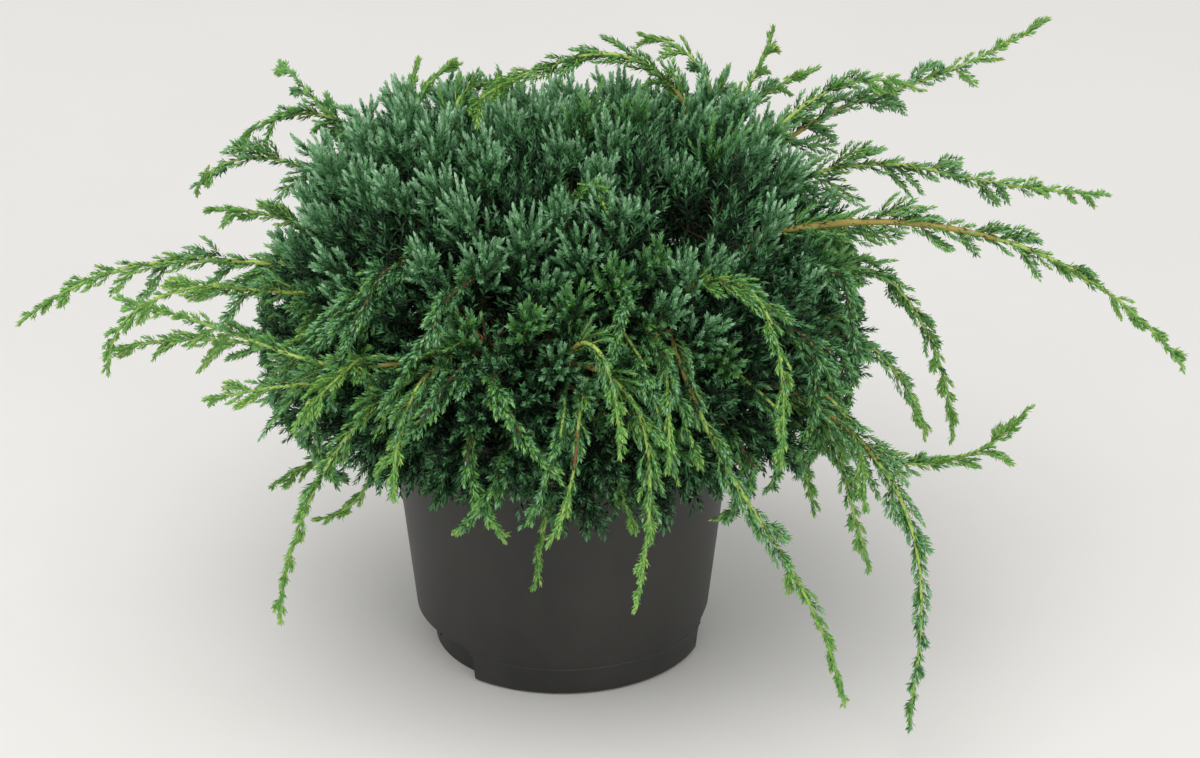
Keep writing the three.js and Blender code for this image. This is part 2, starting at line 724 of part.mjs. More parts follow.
/** The planes that part one mass from the others. */
function partingPlanes(name, centres) {
  const own = centres[name];
  return Object.keys(centres).filter((other) => other !== name).map((other) => {
    const normal = centres[other].clone().sub(own).normalize();
    const middle = centres[other].clone().add(own).multiplyScalar(0.5);
    return { normal, offset: normal.dot(middle) - MASS_MARGIN };
  });
}

/** The dense middle of a mass: a rounded body that fills its share of the mound. */
function massCore(centre, planes) {
  const geometry = new THREE.IcosahedronGeometry(1, CORE_DETAIL);
  const place = geometry.attributes.position;
  const along = new THREE.Vector3();
  for (let i = 0; i < place.count; i += 1) {
    along.fromBufferAttribute(place, i).normalize();
    let reach = distanceOut(centre, along, CORE_RADII, 1);
    if (along.z < 0) reach = Math.min(reach, (CORE_BOTTOM - centre.z) / along.z);
    for (const { normal, offset } of planes) {
      const towards = along.dot(normal);
      if (towards > 0) reach = Math.min(reach, (offset - centre.dot(normal)) / towards);
    }
    place.setXYZ(i, centre.x + along.x * reach, centre.y + along.y * reach, centre.z + along.z * reach);
  }
  return solid(geometry);
}

/** Evenly spread places over the mound, with the way each spray points. */
function moundPlaces(random) {
  const places = [];
  const golden = Math.PI * (3 - Math.sqrt(5));
  for (let i = 0; i < MOUND_SPRAYS; i += 1) {
    const height = THREE.MathUtils.lerp(1, MOUND_SPRAY_LOWEST, (i + 0.5) / MOUND_SPRAYS);
    const level = Math.sqrt(1 - height * height);
    const turn = golden * i;
    const outward = new THREE.Vector3(level * Math.cos(turn), level * Math.sin(turn), height);
    const core = outward.clone().multiply(CORE_RADII).multiplyScalar(swellOf(outward));
    const surface = MOUND_CENTRE.clone().add(core);
    const heading = outward.clone().divide(CORE_RADII).normalize();
    heading.x += (random() - 0.5) * MOUND_SPRAY_STRAY;
    heading.y += (random() - 0.5) * MOUND_SPRAY_STRAY;
    const upturn = THREE.MathUtils.smoothstep(height, ...MOUND_SPRAY_EASE);
    heading.z += THREE.MathUtils.lerp(...MOUND_SPRAY_LIFT, upturn);
    heading.normalize();
    const reach = MOUND_SPRAY_REACH + MOUND_SPRAY_REACH_STRAY * random();
    const length = distanceOut(surface, heading, MOUND_RADII, reach);
    places.push({ surface, heading, length, roll: random() * LARGEST_ROLL });
  }
  return places;
}

/** One dense mass: its core, cut clear of the limbs, with sprays standing out of it. */
function makeMass(name, centres, places, clearances, space) {
  const owner = `foliage_${name}`;
  const planes = partingPlanes(name, centres);
  const inside = (point, margin) => planes.every((plane) => point.dot(plane.normal) < plane.offset - margin);
  const core = massCore(centres[name], planes);
  const cut = largestPiece(clearances.reduce((whole, tube) => whole.subtract(tube), core));
  const pieces = [cut];
  for (const { surface, heading, length, roll } of places) {
    if (!inside(surface, 0)) continue;
    const root = surface.clone().addScaledVector(heading, -MOUND_SPRAY_SINK);
    const tip = surface.clone().addScaledVector(heading, length);
    const middle = root.clone().lerp(tip, 0.5);
    const fits = MOUND_SPRAY_FITS.find((share) => {
      const radius = MOUND_SPRAY_RADIUS * share;
      const within = inside(root, FIT_GAP) && inside(middle, radius) && inside(tip, FIT_GAP);
      return within && space.isFree(owner, root, tip, radius);
    });
    if (!fits) continue;
    pieces.push(spray(root, heading, length + MOUND_SPRAY_SINK, MOUND_SPRAY_RADIUS * fits, roll));
  }
  return fused(pieces);
}

// ---------------------------------------------------------------- the whole plant

const plant = new THREE.Group();
const space = new Space();
const random = randomStream(7);
const clearances = [];

plant.add(meshOf('pot', makePot(), 'pot'));
plant.add(meshOf('potting_soil', makeSoil(), 'soil'));
plant.add(meshOf('trunk', makeTrunk(), 'bark'));
clearances.push(turned([
  [0, SOIL_LEVEL],
  [TRUNK_NECK_RADIUS + CLEARANCE_MARGIN, SOIL_LEVEL],
  [TRUNK_TOP_RADIUS + CLEARANCE_MARGIN, TRUNK_TOP + TRUNK_CROWN + CLEARANCE_MARGIN],
  [0, TRUNK_TOP + TRUNK_CROWN + CLEARANCE_MARGIN],
], TRUNK_SIDES));
clearances.push(turned([
  [0, 0],
  [LIP_RADIUS + RIM_CLEARANCE, 0],
  [LIP_RADIUS + RIM_CLEARANCE, POT_HEIGHT + RIM_CLEARANCE],
  [0, POT_HEIGHT + RIM_CLEARANCE],
], POT_SIDES / 2));
const onAxis = (height) => new THREE.Vector3(0, 0, height);
space.add('trunk', onAxis(SOIL_LEVEL), onAxis(TRUNK_TOP), TRUNK_NECK_RADIUS);
space.add('pot', onAxis(0), onAxis(POT_HEIGHT - LIP_RADIUS), LIP_RADIUS);

const curves = {};
for (const [name, bough] of Object.entries(BOUGHS)) {
  curves[name] = boughCurve(bough);
  const { points, radii } = boughLine(curves[name]);
  plant.add(meshOf(`bough_${name}`, limb(points, radii, BOUGH_SIDES), 'bark'));
  clearances.push(clearanceTube(points, radii));
  space.addLine(`bough_${name}`, points, radii);
}

const sets = Object.entries(LONG_SHOOTS).map(([name, set]) => {
  const owner = `long_shoots_${name}`;
  const stems = shootStems(set, curves);
  for (const { points, radii } of stems) {
    space.addLine(owner, points, radii);
    const buried = points.findLastIndex((point) => reachOf(point, CORE_RADII) < BURIED_REACH);
    if (buried < 0) continue;
    clearances.push(clearanceTube(points.slice(0, buried + 2), radii));
  }
  return { owner, stems };
});

for (const { owner, stems } of sets) {
  const pieces = [];
  for (const stem of stems) {
    pieces.push(limb(stem.points, stem.radii, SHOOT_SIDES));
    pieces.push(...shootSprays(owner, stem, space, random));
  }
  plant.add(meshOf(owner, fused(pieces), 'shoot'));
}

const centres = Object.fromEntries(Object.entries(MASSES).map(([name, mass]) => [name, massCentre(mass)]));
const places = moundPlaces(random);
for (const name of Object.keys(MASSES)) {
  plant.add(meshOf(`foliage_${name}`, makeMass(name, centres, places, clearances, space), 'mound'));
}

export default plant;
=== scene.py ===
"""Blue star juniper, grown wide and trailing, in a round nursery pot.

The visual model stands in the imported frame: metres, +Z up, with the origin in
the middle of the pot's flat underside.  The plant's own tables are in
millimetres and degrees, and MM turns them into metres.  A span holds a least
value and how much a random draw adds to it, and a pair just two values.
"""

import logging
import math
from dataclasses import dataclass, field
from enum import Enum
from functools import cache

import bpy
import numpy as np
from bpy.types import Material, Node, NodeTree, Object
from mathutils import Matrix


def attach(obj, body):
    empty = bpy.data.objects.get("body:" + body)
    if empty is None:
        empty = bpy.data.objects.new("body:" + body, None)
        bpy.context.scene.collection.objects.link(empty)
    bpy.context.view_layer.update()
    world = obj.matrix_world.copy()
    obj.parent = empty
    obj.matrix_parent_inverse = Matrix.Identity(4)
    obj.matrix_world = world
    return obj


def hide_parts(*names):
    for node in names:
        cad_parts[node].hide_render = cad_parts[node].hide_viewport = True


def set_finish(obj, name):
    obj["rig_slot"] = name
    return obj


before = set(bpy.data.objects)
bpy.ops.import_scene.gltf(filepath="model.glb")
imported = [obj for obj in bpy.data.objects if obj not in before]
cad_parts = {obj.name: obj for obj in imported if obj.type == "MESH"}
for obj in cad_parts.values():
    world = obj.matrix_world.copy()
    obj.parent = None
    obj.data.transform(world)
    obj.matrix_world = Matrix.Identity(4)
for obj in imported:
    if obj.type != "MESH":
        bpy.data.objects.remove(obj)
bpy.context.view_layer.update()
log = logging.getLogger("juniper")

Array = np.ndarray
Vector3 = np.ndarray
Random = np.random.Generator
Colour = tuple[float, float, float]
Point = tuple[float, float, float]
Span = tuple[float, float]
Pair = tuple[float, float]

MM = 0.001
GOLDEN_ANGLE = math.pi * (3 - math.sqrt(5))
MASK_32 = 0xFFFFFFFF
UP = np.array([0.0, 0.0, 1.0])
LEVEL = np.array([1.0, 1.0, 0.0])
TINY = 1e-12
NEARLY_UPRIGHT = 0.9
HALVINGS = 24
FLIP = [0, 2, 1]
BODY = "root"


# ---------------- plant tables

ShootShape = tuple[Pair, tuple[float, float, float], float]


@dataclass(frozen=True)
class ShootSet:
    """One set of long shoots: where it leaves its bough, and how each shoot runs.

    A shoot is its first and last heading, its pitch at root, middle and tip,
    and its length in millimetres.
    """

    name: str
    bough: str
    at: float
    side: float
    radius: float
    shoots: tuple[ShootShape, ...]


# Each bough's tip, and the height where it leaves the stem.
BOUGHS: dict[str, tuple[Point, float]] = {
    "right_high": ((120, -20, 276), 212),
    "right_low": ((143, -30, 232), 182),
    "back_right": ((110, 74, 270), 202),
    "front_right_low": ((124, -92, 214), 192),
    "front_right_high": ((62, -118, 262), 212),
    "front": ((5, -138, 250), 182),
    "front_left": ((-48, -128, 264), 202),
    "left_front": ((-120, -90, 218), 182),
    "left": ((-136, -22, 252), 192),
    "back_left": ((-105, 84, 262), 182),
    "back": ((-45, 130, 238), 192),
    "top_left": ((-62, 20, 316), 226),
    "top_right": ((78, 47, 304), 226),
    "top_front": ((0, -58, 304), 226),
}

# The heading, distance out and height of the point that each mass lies round.
MASSES: dict[str, Point] = {
    "right": (0, 95, 222),
    "back_right": (60, 95, 222),
    "back_left": (120, 95, 222),
    "left": (180, 95, 222),
    "front_left": (240, 95, 222),
    "front_right": (300, 95, 222),
    "top_right": (30, 52, 290),
    "top_left": (150, 52, 290),
    "top_front": (270, 52, 290),
}

LONG_SHOOTS = tuple(ShootSet(*row) for row in (
    ("right_arch", "right_high", 1, 0, 2.6, (((10, -20), (10, -15, -50), 280),)),
    ("right_low", "right_low", 1, 0, 1.6, (((45, -55), (-30, -45, -60), 120),)),
    ("right_drop", "right_low", 0.9, -105, 1.6, (((55, -45), (50, -55, -85), 205),)),
    ("right_rise", "back_right", 1, 0, 1.8, (
        ((45, 20), (25, 0, 25), 230),
        ((40, 25), (55, 15, -30), 140),
    )),
    ("right_back", "back_right", 0.88, 105, 1.7, (((0, 30), (40, -20, -15), 260),)),
    ("right_back_top", "back_right", 0.8, -75, 1.5, (((75, 15), (55, 35, 10), 125),)),
    ("front_right_long", "front_right_low", 1, 0, 1.9, (((5, -135), (-25, -50, -85), 245),)),
    ("front_right_fan", "front_right_low", 0.9, -150, 1.6, (
        ((5, -95), (30, -40, -85), 120),
        ((-10, -35), (0, -75, -70), 140),
        ((45, -60), (-50, -65, -75), 90),
    )),
    ("front_right_hook", "front_right_low", 0.78, -105, 1.6, (((5, 0), (-45, -20, 60), 205),)),
    ("front_right_fall", "front_right_high", 1, 0, 1.8, (((-65, -10), (-50, -45, -80), 250),)),
    ("front_right_arch", "front_right_high", 0.9, -60, 1.5, (((15, -115), (85, -55, -85), 180),)),
    ("front_right_drop", "front_right_high", 0.82, 90, 1.5, (((-65, -95), (65, -40, -85), 130),)),
    ("front_fall", "front", 1, 0, 1.7, (
        ((-15, -145), (5, -75, -75), 175),
        ((-45, -80), (85, -50, -85), 105),
        ((-5, 10), (-45, -85, -65), 120),
    )),
    ("front_drop", "front", 0.88, 165, 1.6, (
        ((-60, -160), (35, -75, -60), 120),
        ((170, 240), (-85, -80, -75), 130),
    )),
    ("front_left_sweep", "front_left", 1, 0, 1.8, (((-185, -225), (-35, 10, -10), 255),)),
    ("front_left_drop", "front_left", 0.9, 150, 1.5, (((-145, -95), (20, -40, -80), 120),)),
    ("front_left_fall", "front_left", 0.8, 135, 1.6, (((-155, -140), (5, -50, -85), 220),)),
    ("left_fan", "left_front", 1, 0, 1.6, (
        ((-120, -230), (20, -5, -40), 105),
        ((-55, -175), (65, 0, -65), 110),
    )),
    ("left_level", "left_front", 0.9, 105, 1.5, (((120, 190), (-10, 0, -10), 185),)),
    ("left_under", "left_front", 0.85, 150, 1.5, (
        ((150, 195), (-85, -85, -5), 105),
        ((80, 215), (-65, -40, -20), 125),
    )),
    ("left_arch", "left", 1, 0, 1.9, (((-205, -160), (0, -5, -35), 200),)),
    ("left_hook", "left", 0.9, -90, 1.7, (
        ((-115, -210), (25, 15, -90), 215),
        ((-60, -210), (30, -10, -50), 100),
    )),
    ("left_back", "left", 0.85, 90, 1.4, (((115, 180), (30, 10, -5), 125),)),
    ("back_left_fan", "back_left", 1, 0, 1.5, (
        ((-160, -205), (15, 15, -65), 135),
        ((125, 190), (60, 0, -45), 125),
    )),
    ("back_left_rise", "back_left", 0.9, 165, 1.5, (((140, 120), (40, 30, 5), 140),)),
    ("back_left_fall", "back_left", 0.8, 75, 1.6, (((105, 100), (25, -15, -65), 135),)),
    ("back_fall", "back", 1, 0, 1.7, (((110, 85), (35, -10, -65), 125),)),
    ("back_right_fall", "back", 0.85, 75, 1.6, (((50, 70), (25, -10, -65), 125),)),
    ("top_left_curl", "top_left", 1, 0, 1.3, (((135, -80), (85, 35, -10), 65),)),
    ("top_left_rise", "top_left", 0.85, 120, 1.3, (
        ((155, 65), (-5, 30, 60), 105),
        ((170, 25), (20, 25, 25), 110),
    )),
    ("top_right_arch", "top_right", 1, 0, 1.7, (
        ((150, 250), (85, -5, 0), 200),
        ((40, 195), (40, 30, 15), 100),
    )),
    ("top_right_rise", "top_right", 0.85, -135, 1.4, (((65, 35), (-5, 35, 70), 130),)),
    ("top_front_rise", "top_front", 1, 0, 1.2, (((-60, -40), (70, 40, 10), 55),)),
))


@dataclass(frozen=True)
class Swell:
    """A part of the mound that swells, or sinks in: its direction, gain and spread."""

    towards: Point
    gain: float
    spread: float

    def at(self, outward: Array) -> Array:
        """Its gain in each direction, less and less away from its own."""
        return self.gain * np.exp((outward @ np.array(self.towards) - 1) / self.spread)


@dataclass(frozen=True)
class Shade(Swell):
    """A shaded part of the mound, with how dark it is as its gain."""

    def at(self, outward: Array) -> Array:
        """How dark it is in each direction."""
        return self.gain * np.exp((outward @ unit(np.array(self.towards)) - 1) / self.spread)


LEFT_DOME = Swell((-0.62, 0.26, 0.74), 0.12, 0.14)
RIGHT_DOME = Swell((0.62, 0.26, 0.74), 0.10, 0.12)
VALLEY = Swell((0.0, 0.34, 0.94), -0.14, 0.10)
DRAWN_IN = Swell((0.0, 0.0, -1.0), -1.1, 0.35)
MOUND_SWELLS = (LEFT_DOME, RIGHT_DOME, VALLEY, DRAWN_IN)
# The hollows of the mound: plumes there are shorter or left out and the fill sinks deeper, and the plumes
# left in them take painted shade.
HOLLOWS = (
    Shade((0.46, -0.40, 0.79), 1.0, 0.034),
    Shade((0.04, -0.26, 0.96), 0.8, 0.018),
    Shade((0.77, -0.11, 0.63), 1.0, 0.020),
    Shade((-0.30, -0.75, 0.59), 0.9, 0.014),
)
# Painted shade on the mound's low sides: plumes there take the dark leafing, and shoots that hang there no
# fresh tips.
PAINTED_SHADE_SIDES = (
    Shade((0.72, -0.60, 0.30), 0.95, 0.10),
    Shade((0.95, -0.20, 0.20), 0.90, 0.10),
    Shade((-0.80, -0.55, 0.16), 0.95, 0.09),
    Shade((0.05, -0.98, 0.10), 0.60, 0.05),
)

# The shares of its length between which a set's shoot has died back.
BARE_STRETCHES: dict[tuple[str, int], Span] = {("front_drop", 0): (0.42, 0.60)}
NOWHERE: Span = (1.0, 1.0)

SIDES_OF_PLANT = ("right", "front", "left", "back", "top")


# ---------------- small helpers


def unit(vectors: Array) -> Array:
    """Vectors of length one with the same directions."""
    return vectors / np.maximum(np.linalg.norm(vectors, axis=-1, keepdims=True), TINY)


def lerp(first: float, last: float, share: float) -> float:
    """The value at a share of the way from the first to the last."""
    return first + (last - first) * share


def vary(span: Span, draw: Array | float) -> Array | float:
    """The value of a span for a draw from 0 to 1."""
    return span[0] + span[1] * draw


def sway(draw: Array | float, width: float) -> Array | float:
    """A draw from 0 to 1 as a stray of up to half a width to either side."""
    return (draw - 0.5) * width


def direction(heading: float, pitch: float) -> Vector3:
    """The direction with a heading from +X and a pitch above the level, in degrees."""
    turn, rise = math.radians(heading), math.radians(pitch)
    return np.array([math.cos(rise) * math.cos(turn), math.cos(rise) * math.sin(turn), math.sin(rise)])


def through(values: tuple[float, ...], share: float) -> float:
    """The value at a share of the way through an evenly spaced list."""
    place = min(max(share, 0.0), 1.0) * (len(values) - 1)
    first = min(int(place), len(values) - 2)
    return lerp(values[first], values[first + 1], place - first)


def leaning(along: Vector3, towards: Vector3, angle: float) -> Vector3:
    """A direction turned from one direction towards another by an angle in degrees."""
    return along * math.cos(math.radians(angle)) + towards * math.sin(math.radians(angle))


def on_curve(start: Vector3, bend: Vector3, end: Vector3, share: Array | float) -> Array:
    """The point at a share of the way along a curve with one bend."""
    return start * (1 - share) ** 2 + bend * 2 * share * (1 - share) + end * share**2


def point_on(
    root: Array, heading: Array, bend: Array, length: Array | float,
    share: Array | float,
) -> Array:
    """The point at a share of the way along a shoot that turns aside more and more."""
    return root + (heading * share + bend * share**2) * length


def cross_directions(tangents: Array) -> tuple[Array, Array]:
    """Two directions across each tangent.

    Args:
        tangents: Unit vectors, one a row.

    Returns:
        The first and the second cross direction of each row.
    """
    aside = np.where(np.abs(tangents[..., 2:3]) < NEARLY_UPRIGHT, UP, np.array([0.0, 1.0, 0.0]))
    first = unit(np.cross(tangents, aside))
    return first, np.cross(first, tangents)


def frames_along(points: Array) -> tuple[Array, ...]:
    """Tangent, normal and cross direction at each point of a line, without twist.

    Args:
        points: The line's points, one a row.

    Returns:
        Three arrays of directions, one row for each point.
    """
    inner = points[2:] - points[:-2]
    tangents = unit(np.vstack([points[1:2] - points[:1], inner, points[-1:] - points[-2:-1]]))
    normals = np.zeros_like(tangents)
    normals[0] = cross_directions(tangents[:1])[0][0]
    for i in range(1, len(points)):
        before, now = tangents[i - 1], tangents[i]
        axis = np.cross(before, now)
        turned = normals[i - 1] + np.cross(axis, normals[i - 1])
        turned = turned + np.cross(axis, np.cross(axis, normals[i - 1])) / (1 + before @ now)
        normals[i] = unit(turned - now * (turned @ now))
    return tangents, normals, np.cross(normals, tangents)


class RandomStream:
    """The seeded stream of numbers from 0 to 1 that the plant's rule draws from."""

    STEP = 0x6D2B79F5
    SHIFTS = (15, 7, 14)
    ODD = 61

    def __init__(self, seed: int) -> None:
        """Starts the stream at a seed."""
        self._state = seed & MASK_32

    def draw(self) -> float:
        """The next number."""
        first, second, last = self.SHIFTS
        self._state = (self._state + self.STEP) & MASK_32
        mixed = ((self._state ^ (self._state >> first)) * (1 | self._state)) & MASK_32
        product = ((mixed ^ (mixed >> second)) * (self.ODD | mixed)) & MASK_32
        mixed = ((mixed + product) & MASK_32) ^ mixed
        return (mixed ^ (mixed >> last)) / (MASK_32 + 1)


@dataclass
class MeshParts:
    """Vertices, triangles and material slots that are gathered into one mesh."""

    vertices: list[Array] = field(default_factory=list)
    triangles: list[Array] = field(default_factory=list)
    slots: list[Array] = field(default_factory=list)
    count: int = 0

    def add(self, vertices: Array, triangles: Array, slots: Array | int = 0) -> None:
        """Adds some triangles.

        Args:
            vertices: Points in metres, one a row.
            triangles: Rows of three indices into those points.
            slots: The material slot of each triangle, or one for all.
        """
        self.vertices.append(vertices)
        self.triangles.append(triangles + self.count)
        self.slots.append(np.broadcast_to(np.asarray(slots, np.int32), (len(triangles),)))
        self.count += len(vertices)

    def build(self, name: str, materials: list[Material], smooth: bool) -> Object:
        """Makes the mesh object.

        Args:
            name: The object's name.
            materials: The materials of its slots, in order.
            smooth: Whether its faces are shaded smooth.

        Returns:
            The new object, linked to the scene.
        """
        vertices = np.concatenate(self.vertices).astype(np.float32)
        triangles = np.concatenate(self.triangles).astype(np.int32)
        slots = np.concatenate(self.slots).astype(np.int32)
        mesh = bpy.data.meshes.new(name)
        mesh.vertices.add(len(vertices))
        mesh.vertices.foreach_set("co", vertices.ravel())
        mesh.loops.add(triangles.size)
        mesh.loops.foreach_set("vertex_index", triangles.ravel())
        mesh.polygons.add(len(triangles))
        mesh.polygons.foreach_set("loop_start", np.arange(0, triangles.size, 3, dtype=np.int32))
        used = np.unique(slots)
        for slot in used:
            mesh.materials.append(materials[slot])
        mesh.polygons.foreach_set("material_index", np.searchsorted(used, slots).astype(np.int32))
        mesh.polygons.foreach_set("use_smooth", np.full(len(triangles), smooth))
        mesh.update(calc_edges=True)
        mesh.validate()
        made = bpy.data.objects.new(name, mesh)
        bpy.context.scene.collection.objects.link(made)
        return made


def ring_steps(rows: int, columns: int) -> tuple[Array, Array]:
    """Each point's index in some rings of points, and that of the next point round its ring."""
    first, order = np.arange(rows)[:, None] * columns, np.arange(columns)[None]
    return (first + order).ravel(), (first + (order + 1) % columns).ravel()


def band(rows: int, columns: int, flipped: bool = False) -> Array:
    """The triangles between the rings of a closed band.

    Args:
        rows: The number of gaps between its rings.
        columns: The number of points in each ring.
        flipped: Whether they face the other way.

    Returns:
        Rows of three indices into the rings' points.
    """
    here, beside = ring_steps(rows, columns)
    lower = np.column_stack([here, here + columns, beside + columns])
    upper = np.column_stack([here, beside + columns, beside])
    return np.vstack([upper[:, FLIP], lower[:, FLIP]] if flipped else [lower, upper])


def fan(centre: int, columns: int, first: int = 0, flipped: bool = False) -> Array:
    """The triangles between a ring and the point in its middle.

    Args:
        centre: The index of the middle point.
        columns: The number of points in the ring.
        first: The index of the ring's first point.
        flipped: Whether they face the other way.

    Returns:
        Rows of three indices.
    """
    here, beside = ring_steps(1, columns)
    pair = [beside + first, here + first] if flipped else [here + first, beside + first]
    return np.column_stack([*pair, np.full(columns, centre)])


def tube(points: Array, radii: Array, sides: int) -> tuple[Array, Array]:
    """A closed round tube along a line.

    Args:
        points: The line's points, one a row.
        radii: The tube's radius at each point, or a radius for each point and side.
        sides: The number of sides.

    Returns:
        Its vertices and its triangles.
    """
    _, normals, across = frames_along(points)
    turn = np.arange(sides) * (2 * math.pi / sides)
    ring = normals[:, None] * np.cos(turn)[None, :, None] + across[:, None] * np.sin(turn)[None, :, None]
    widths = np.broadcast_to(np.reshape(radii, (len(points), -1)), (len(points), sides))
    body = (points[:, None] + ring * widths[..., None]).reshape(-1, 3)
    vertices = np.vstack([body, points[:1], points[-1:]])
    here, beside = ring_steps(len(points) - 1, sides)
    walls = np.vstack([
        np.column_stack([here, here + sides, beside]),
        np.column_stack([beside, here + sides, beside + sides]),
    ])
    last = (len(points) - 1) * sides
    root_cap, tip_cap = fan(len(body), sides), fan(len(body) + 1, sides, last, flipped=True)
    return vertices, np.vstack([walls, root_cap, tip_cap])


def dress(piece: Object, slot: str, replaced: list[str]) -> None:
    """Joins a piece to the frame.

    Args:
        piece: The finished piece.
        slot: The record's material slot that it takes its finish from.
        replaced: The nodes that it stands for.
    """
    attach(piece, BODY)
    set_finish(piece, slot)
    if replaced:
        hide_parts(*replaced)
    log.info("%s: %d triangles", piece.name, len(piece.data.polygons))


# ---------------- shader groups


class Effects:
    """The surface effects that several finishes share, each a node group made once."""

    PATCH_DETAIL = 5.0
    PATCH_SOFTNESS = 0.6
    PATCH_EDGE = (0.38, 0.66)
    GRAIN_DETAIL = 3.0

    def __init__(self) -> None:
        """Makes every group."""
        self.mottle = self._mottle()
        self.relief = self._relief()

    @staticmethod
    def _group(name: str, inputs: dict[str, str], outputs: dict[str, str]) -> tuple[NodeTree, Node, Node]:
        """Starts a group with its named inputs and outputs.

        Args:
            name: The group's name.
            inputs: Each input's kind.
            outputs: Each output's kind.

        Returns:
            The group, its input node and its output node.
        """
        tree = bpy.data.node_groups.new(name, "ShaderNodeTree")
        for way, sockets in (("INPUT", inputs), ("OUTPUT", outputs)):
            for label, kind in sockets.items():
                tree.interface.new_socket(label, in_out=way, socket_type=f"NodeSocket{kind}")
        return tree, tree.nodes.new("NodeGroupInput"), tree.nodes.new("NodeGroupOutput")

    @staticmethod
    def _stretched_noise(tree: NodeTree, given: Node, size: str) -> Node:
        """Adds noise over the object's own places, pulled out by the group's Stretch input.

        Args:
            tree: The group.
            given: Its input node.
            size: The name of the input that scales the noise.

        Returns:
            The noise node.
        """
        link = tree.links.new
        place = tree.nodes.new("ShaderNodeTexCoord")
        stretch = tree.nodes.new("ShaderNodeVectorMath")
        stretch.operation = "MULTIPLY"
        noise = tree.nodes.new("ShaderNodeTexNoise")
        link(place.outputs["Object"], stretch.inputs[0])
        link(given.outputs["Stretch"], stretch.inputs[1])
        link(stretch.outputs["Vector"], noise.inputs["Vector"])
        link(given.outputs[size], noise.inputs["Scale"])
        return noise

    def _mottle(self) -> NodeTree:
        """Patches of a second colour, with a roughness that follows them."""
        tree, given, made = self._group(
            "mottle",
            {
                "Colour": "Color", "Patch Colour": "Color", "Patch Size": "Float", "Amount": "Float",
                "Stretch": "Vector", "Roughness": "Float", "Patch Roughness": "Float",
            },
            {"Colour": "Color", "Roughness": "Float", "Mask": "Float"},
        )
        link = tree.links.new
        noise = self._stretched_noise(tree, given, "Patch Size")
        noise.inputs["Detail"].default_value = self.PATCH_DETAIL
        noise.inputs["Roughness"].default_value = self.PATCH_SOFTNESS
        spread = tree.nodes.new("ShaderNodeMapRange")
        spread.inputs["From Min"].default_value, spread.inputs["From Max"].default_value = self.PATCH_EDGE
        amount = tree.nodes.new("ShaderNodeMath")
        amount.operation = "MULTIPLY"
        link(noise.outputs["Fac"], spread.inputs["Value"])
        link(spread.outputs["Result"], amount.inputs[0])
        link(given.outputs["Amount"], amount.inputs[1])
        link(amount.outputs["Value"], made.inputs["Mask"])
        for label, kind in (("Colour", "RGBA"), ("Roughness", "FLOAT")):
            mix = tree.nodes.new("ShaderNodeMix")
            mix.data_type = kind
            link(amount.outputs["Value"], mix.inputs["Factor"])
            link(given.outputs[label], mix.inputs["A"])
            link(given.outputs[f"Patch {label}"], mix.inputs["B"])
            link(mix.outputs["Result"], made.inputs[label])
        return tree

    def _relief(self) -> NodeTree:
        """A height from fine noise, stretched along the surface, for bumps and fibres."""
        kinds = {"Grain Size": "Float", "Stretch": "Vector", "Detail": "Float"}
        tree, given, made = self._group("fine_relief", kinds, {"Height": "Float"})
        noise = self._stretched_noise(tree, given, "Grain Size")
        tree.links.new(given.outputs["Detail"], noise.inputs["Detail"])
        tree.links.new(noise.outputs["Fac"], made.inputs["Height"])
        return tree

    @staticmethod
    def place(material: Material, group: NodeTree, values: dict[str, object]) -> Node:
        """Puts a group into a material.

        Args:
            material: The material.
            group: The group.
            values: The values of its inputs, by name.

        Returns:
            The group's node.
        """
        node = material.node_tree.nodes.new("ShaderNodeGroup")
        node.node_tree = group
        for label, value in values.items():
            node.inputs[label].default_value = value
        return node


@cache
def effects() -> Effects:
    """The shared effects, made when they are first needed."""
    return Effects()


# ---------------- finishes


@dataclass(frozen=True)
class NeedleFinish:
    """The wax-bloomed skin of needles: one plain colour for each tint."""

    name: str
    colour: Colour
    roughness: float = 0.5
    specular: float = 0.35

    def material(self) -> Material:
        """The finished material."""
        made = bpy.data.materials.new(self.name)
        made.use_nodes = True
        skin = made.node_tree.nodes["Principled BSDF"]
        skin.inputs["Base Color"].default_value = (*self.colour, 1)
        skin.inputs["Roughness"].default_value = self.roughness
        skin.inputs["Specular IOR Level"].default_value = self.specular
        return made


@dataclass(frozen=True)
class PatchyFinish:
    """A finish with patches of a second colour over a fine relief."""

    name: str
    colour: Colour
    patch: Colour
    patch_size: float
    amount: float
    roughness: float
    patch_roughness: float
    grain_size: float
    grain_depth: float
    grain_strength: float
    stretch: tuple[float, float, float] = (1.0, 1.0, 1.0)
    specular: float = 0.4

    def material(self) -> Material:
        """The finished material: its colour, roughness and relief come from the shared effects."""
        made = bpy.data.materials.new(self.name)
        made.use_nodes = True
        nodes, links = made.node_tree.nodes, made.node_tree.links
        skin = nodes["Principled BSDF"]
        skin.inputs["Specular IOR Level"].default_value = self.specular
        mottle = Effects.place(made, effects().mottle, {
            "Colour": (*self.colour, 1),
            "Patch Colour": (*self.patch, 1),
            "Patch Size": self.patch_size,
            "Amount": self.amount,
            "Stretch": self.stretch,
            "Roughness": self.roughness,
            "Patch Roughness": self.patch_roughness,
        })
        relief = Effects.place(made, effects().relief, {
            "Grain Size": self.grain_size, "Stretch": self.stretch, "Detail": Effects.GRAIN_DETAIL,
        })
        bump = nodes.new("ShaderNodeBump")
        bump.inputs["Distance"].default_value = self.grain_depth
        bump.inputs["Strength"].default_value = self.grain_strength
        links.new(mottle.outputs["Colour"], skin.inputs["Base Color"])
        links.new(mottle.outputs["Roughness"], skin.inputs["Roughness"])
        links.new(relief.outputs["Height"], bump.inputs["Height"])
        links.new(bump.outputs["Normal"], skin.inputs["Normal"])
        return made


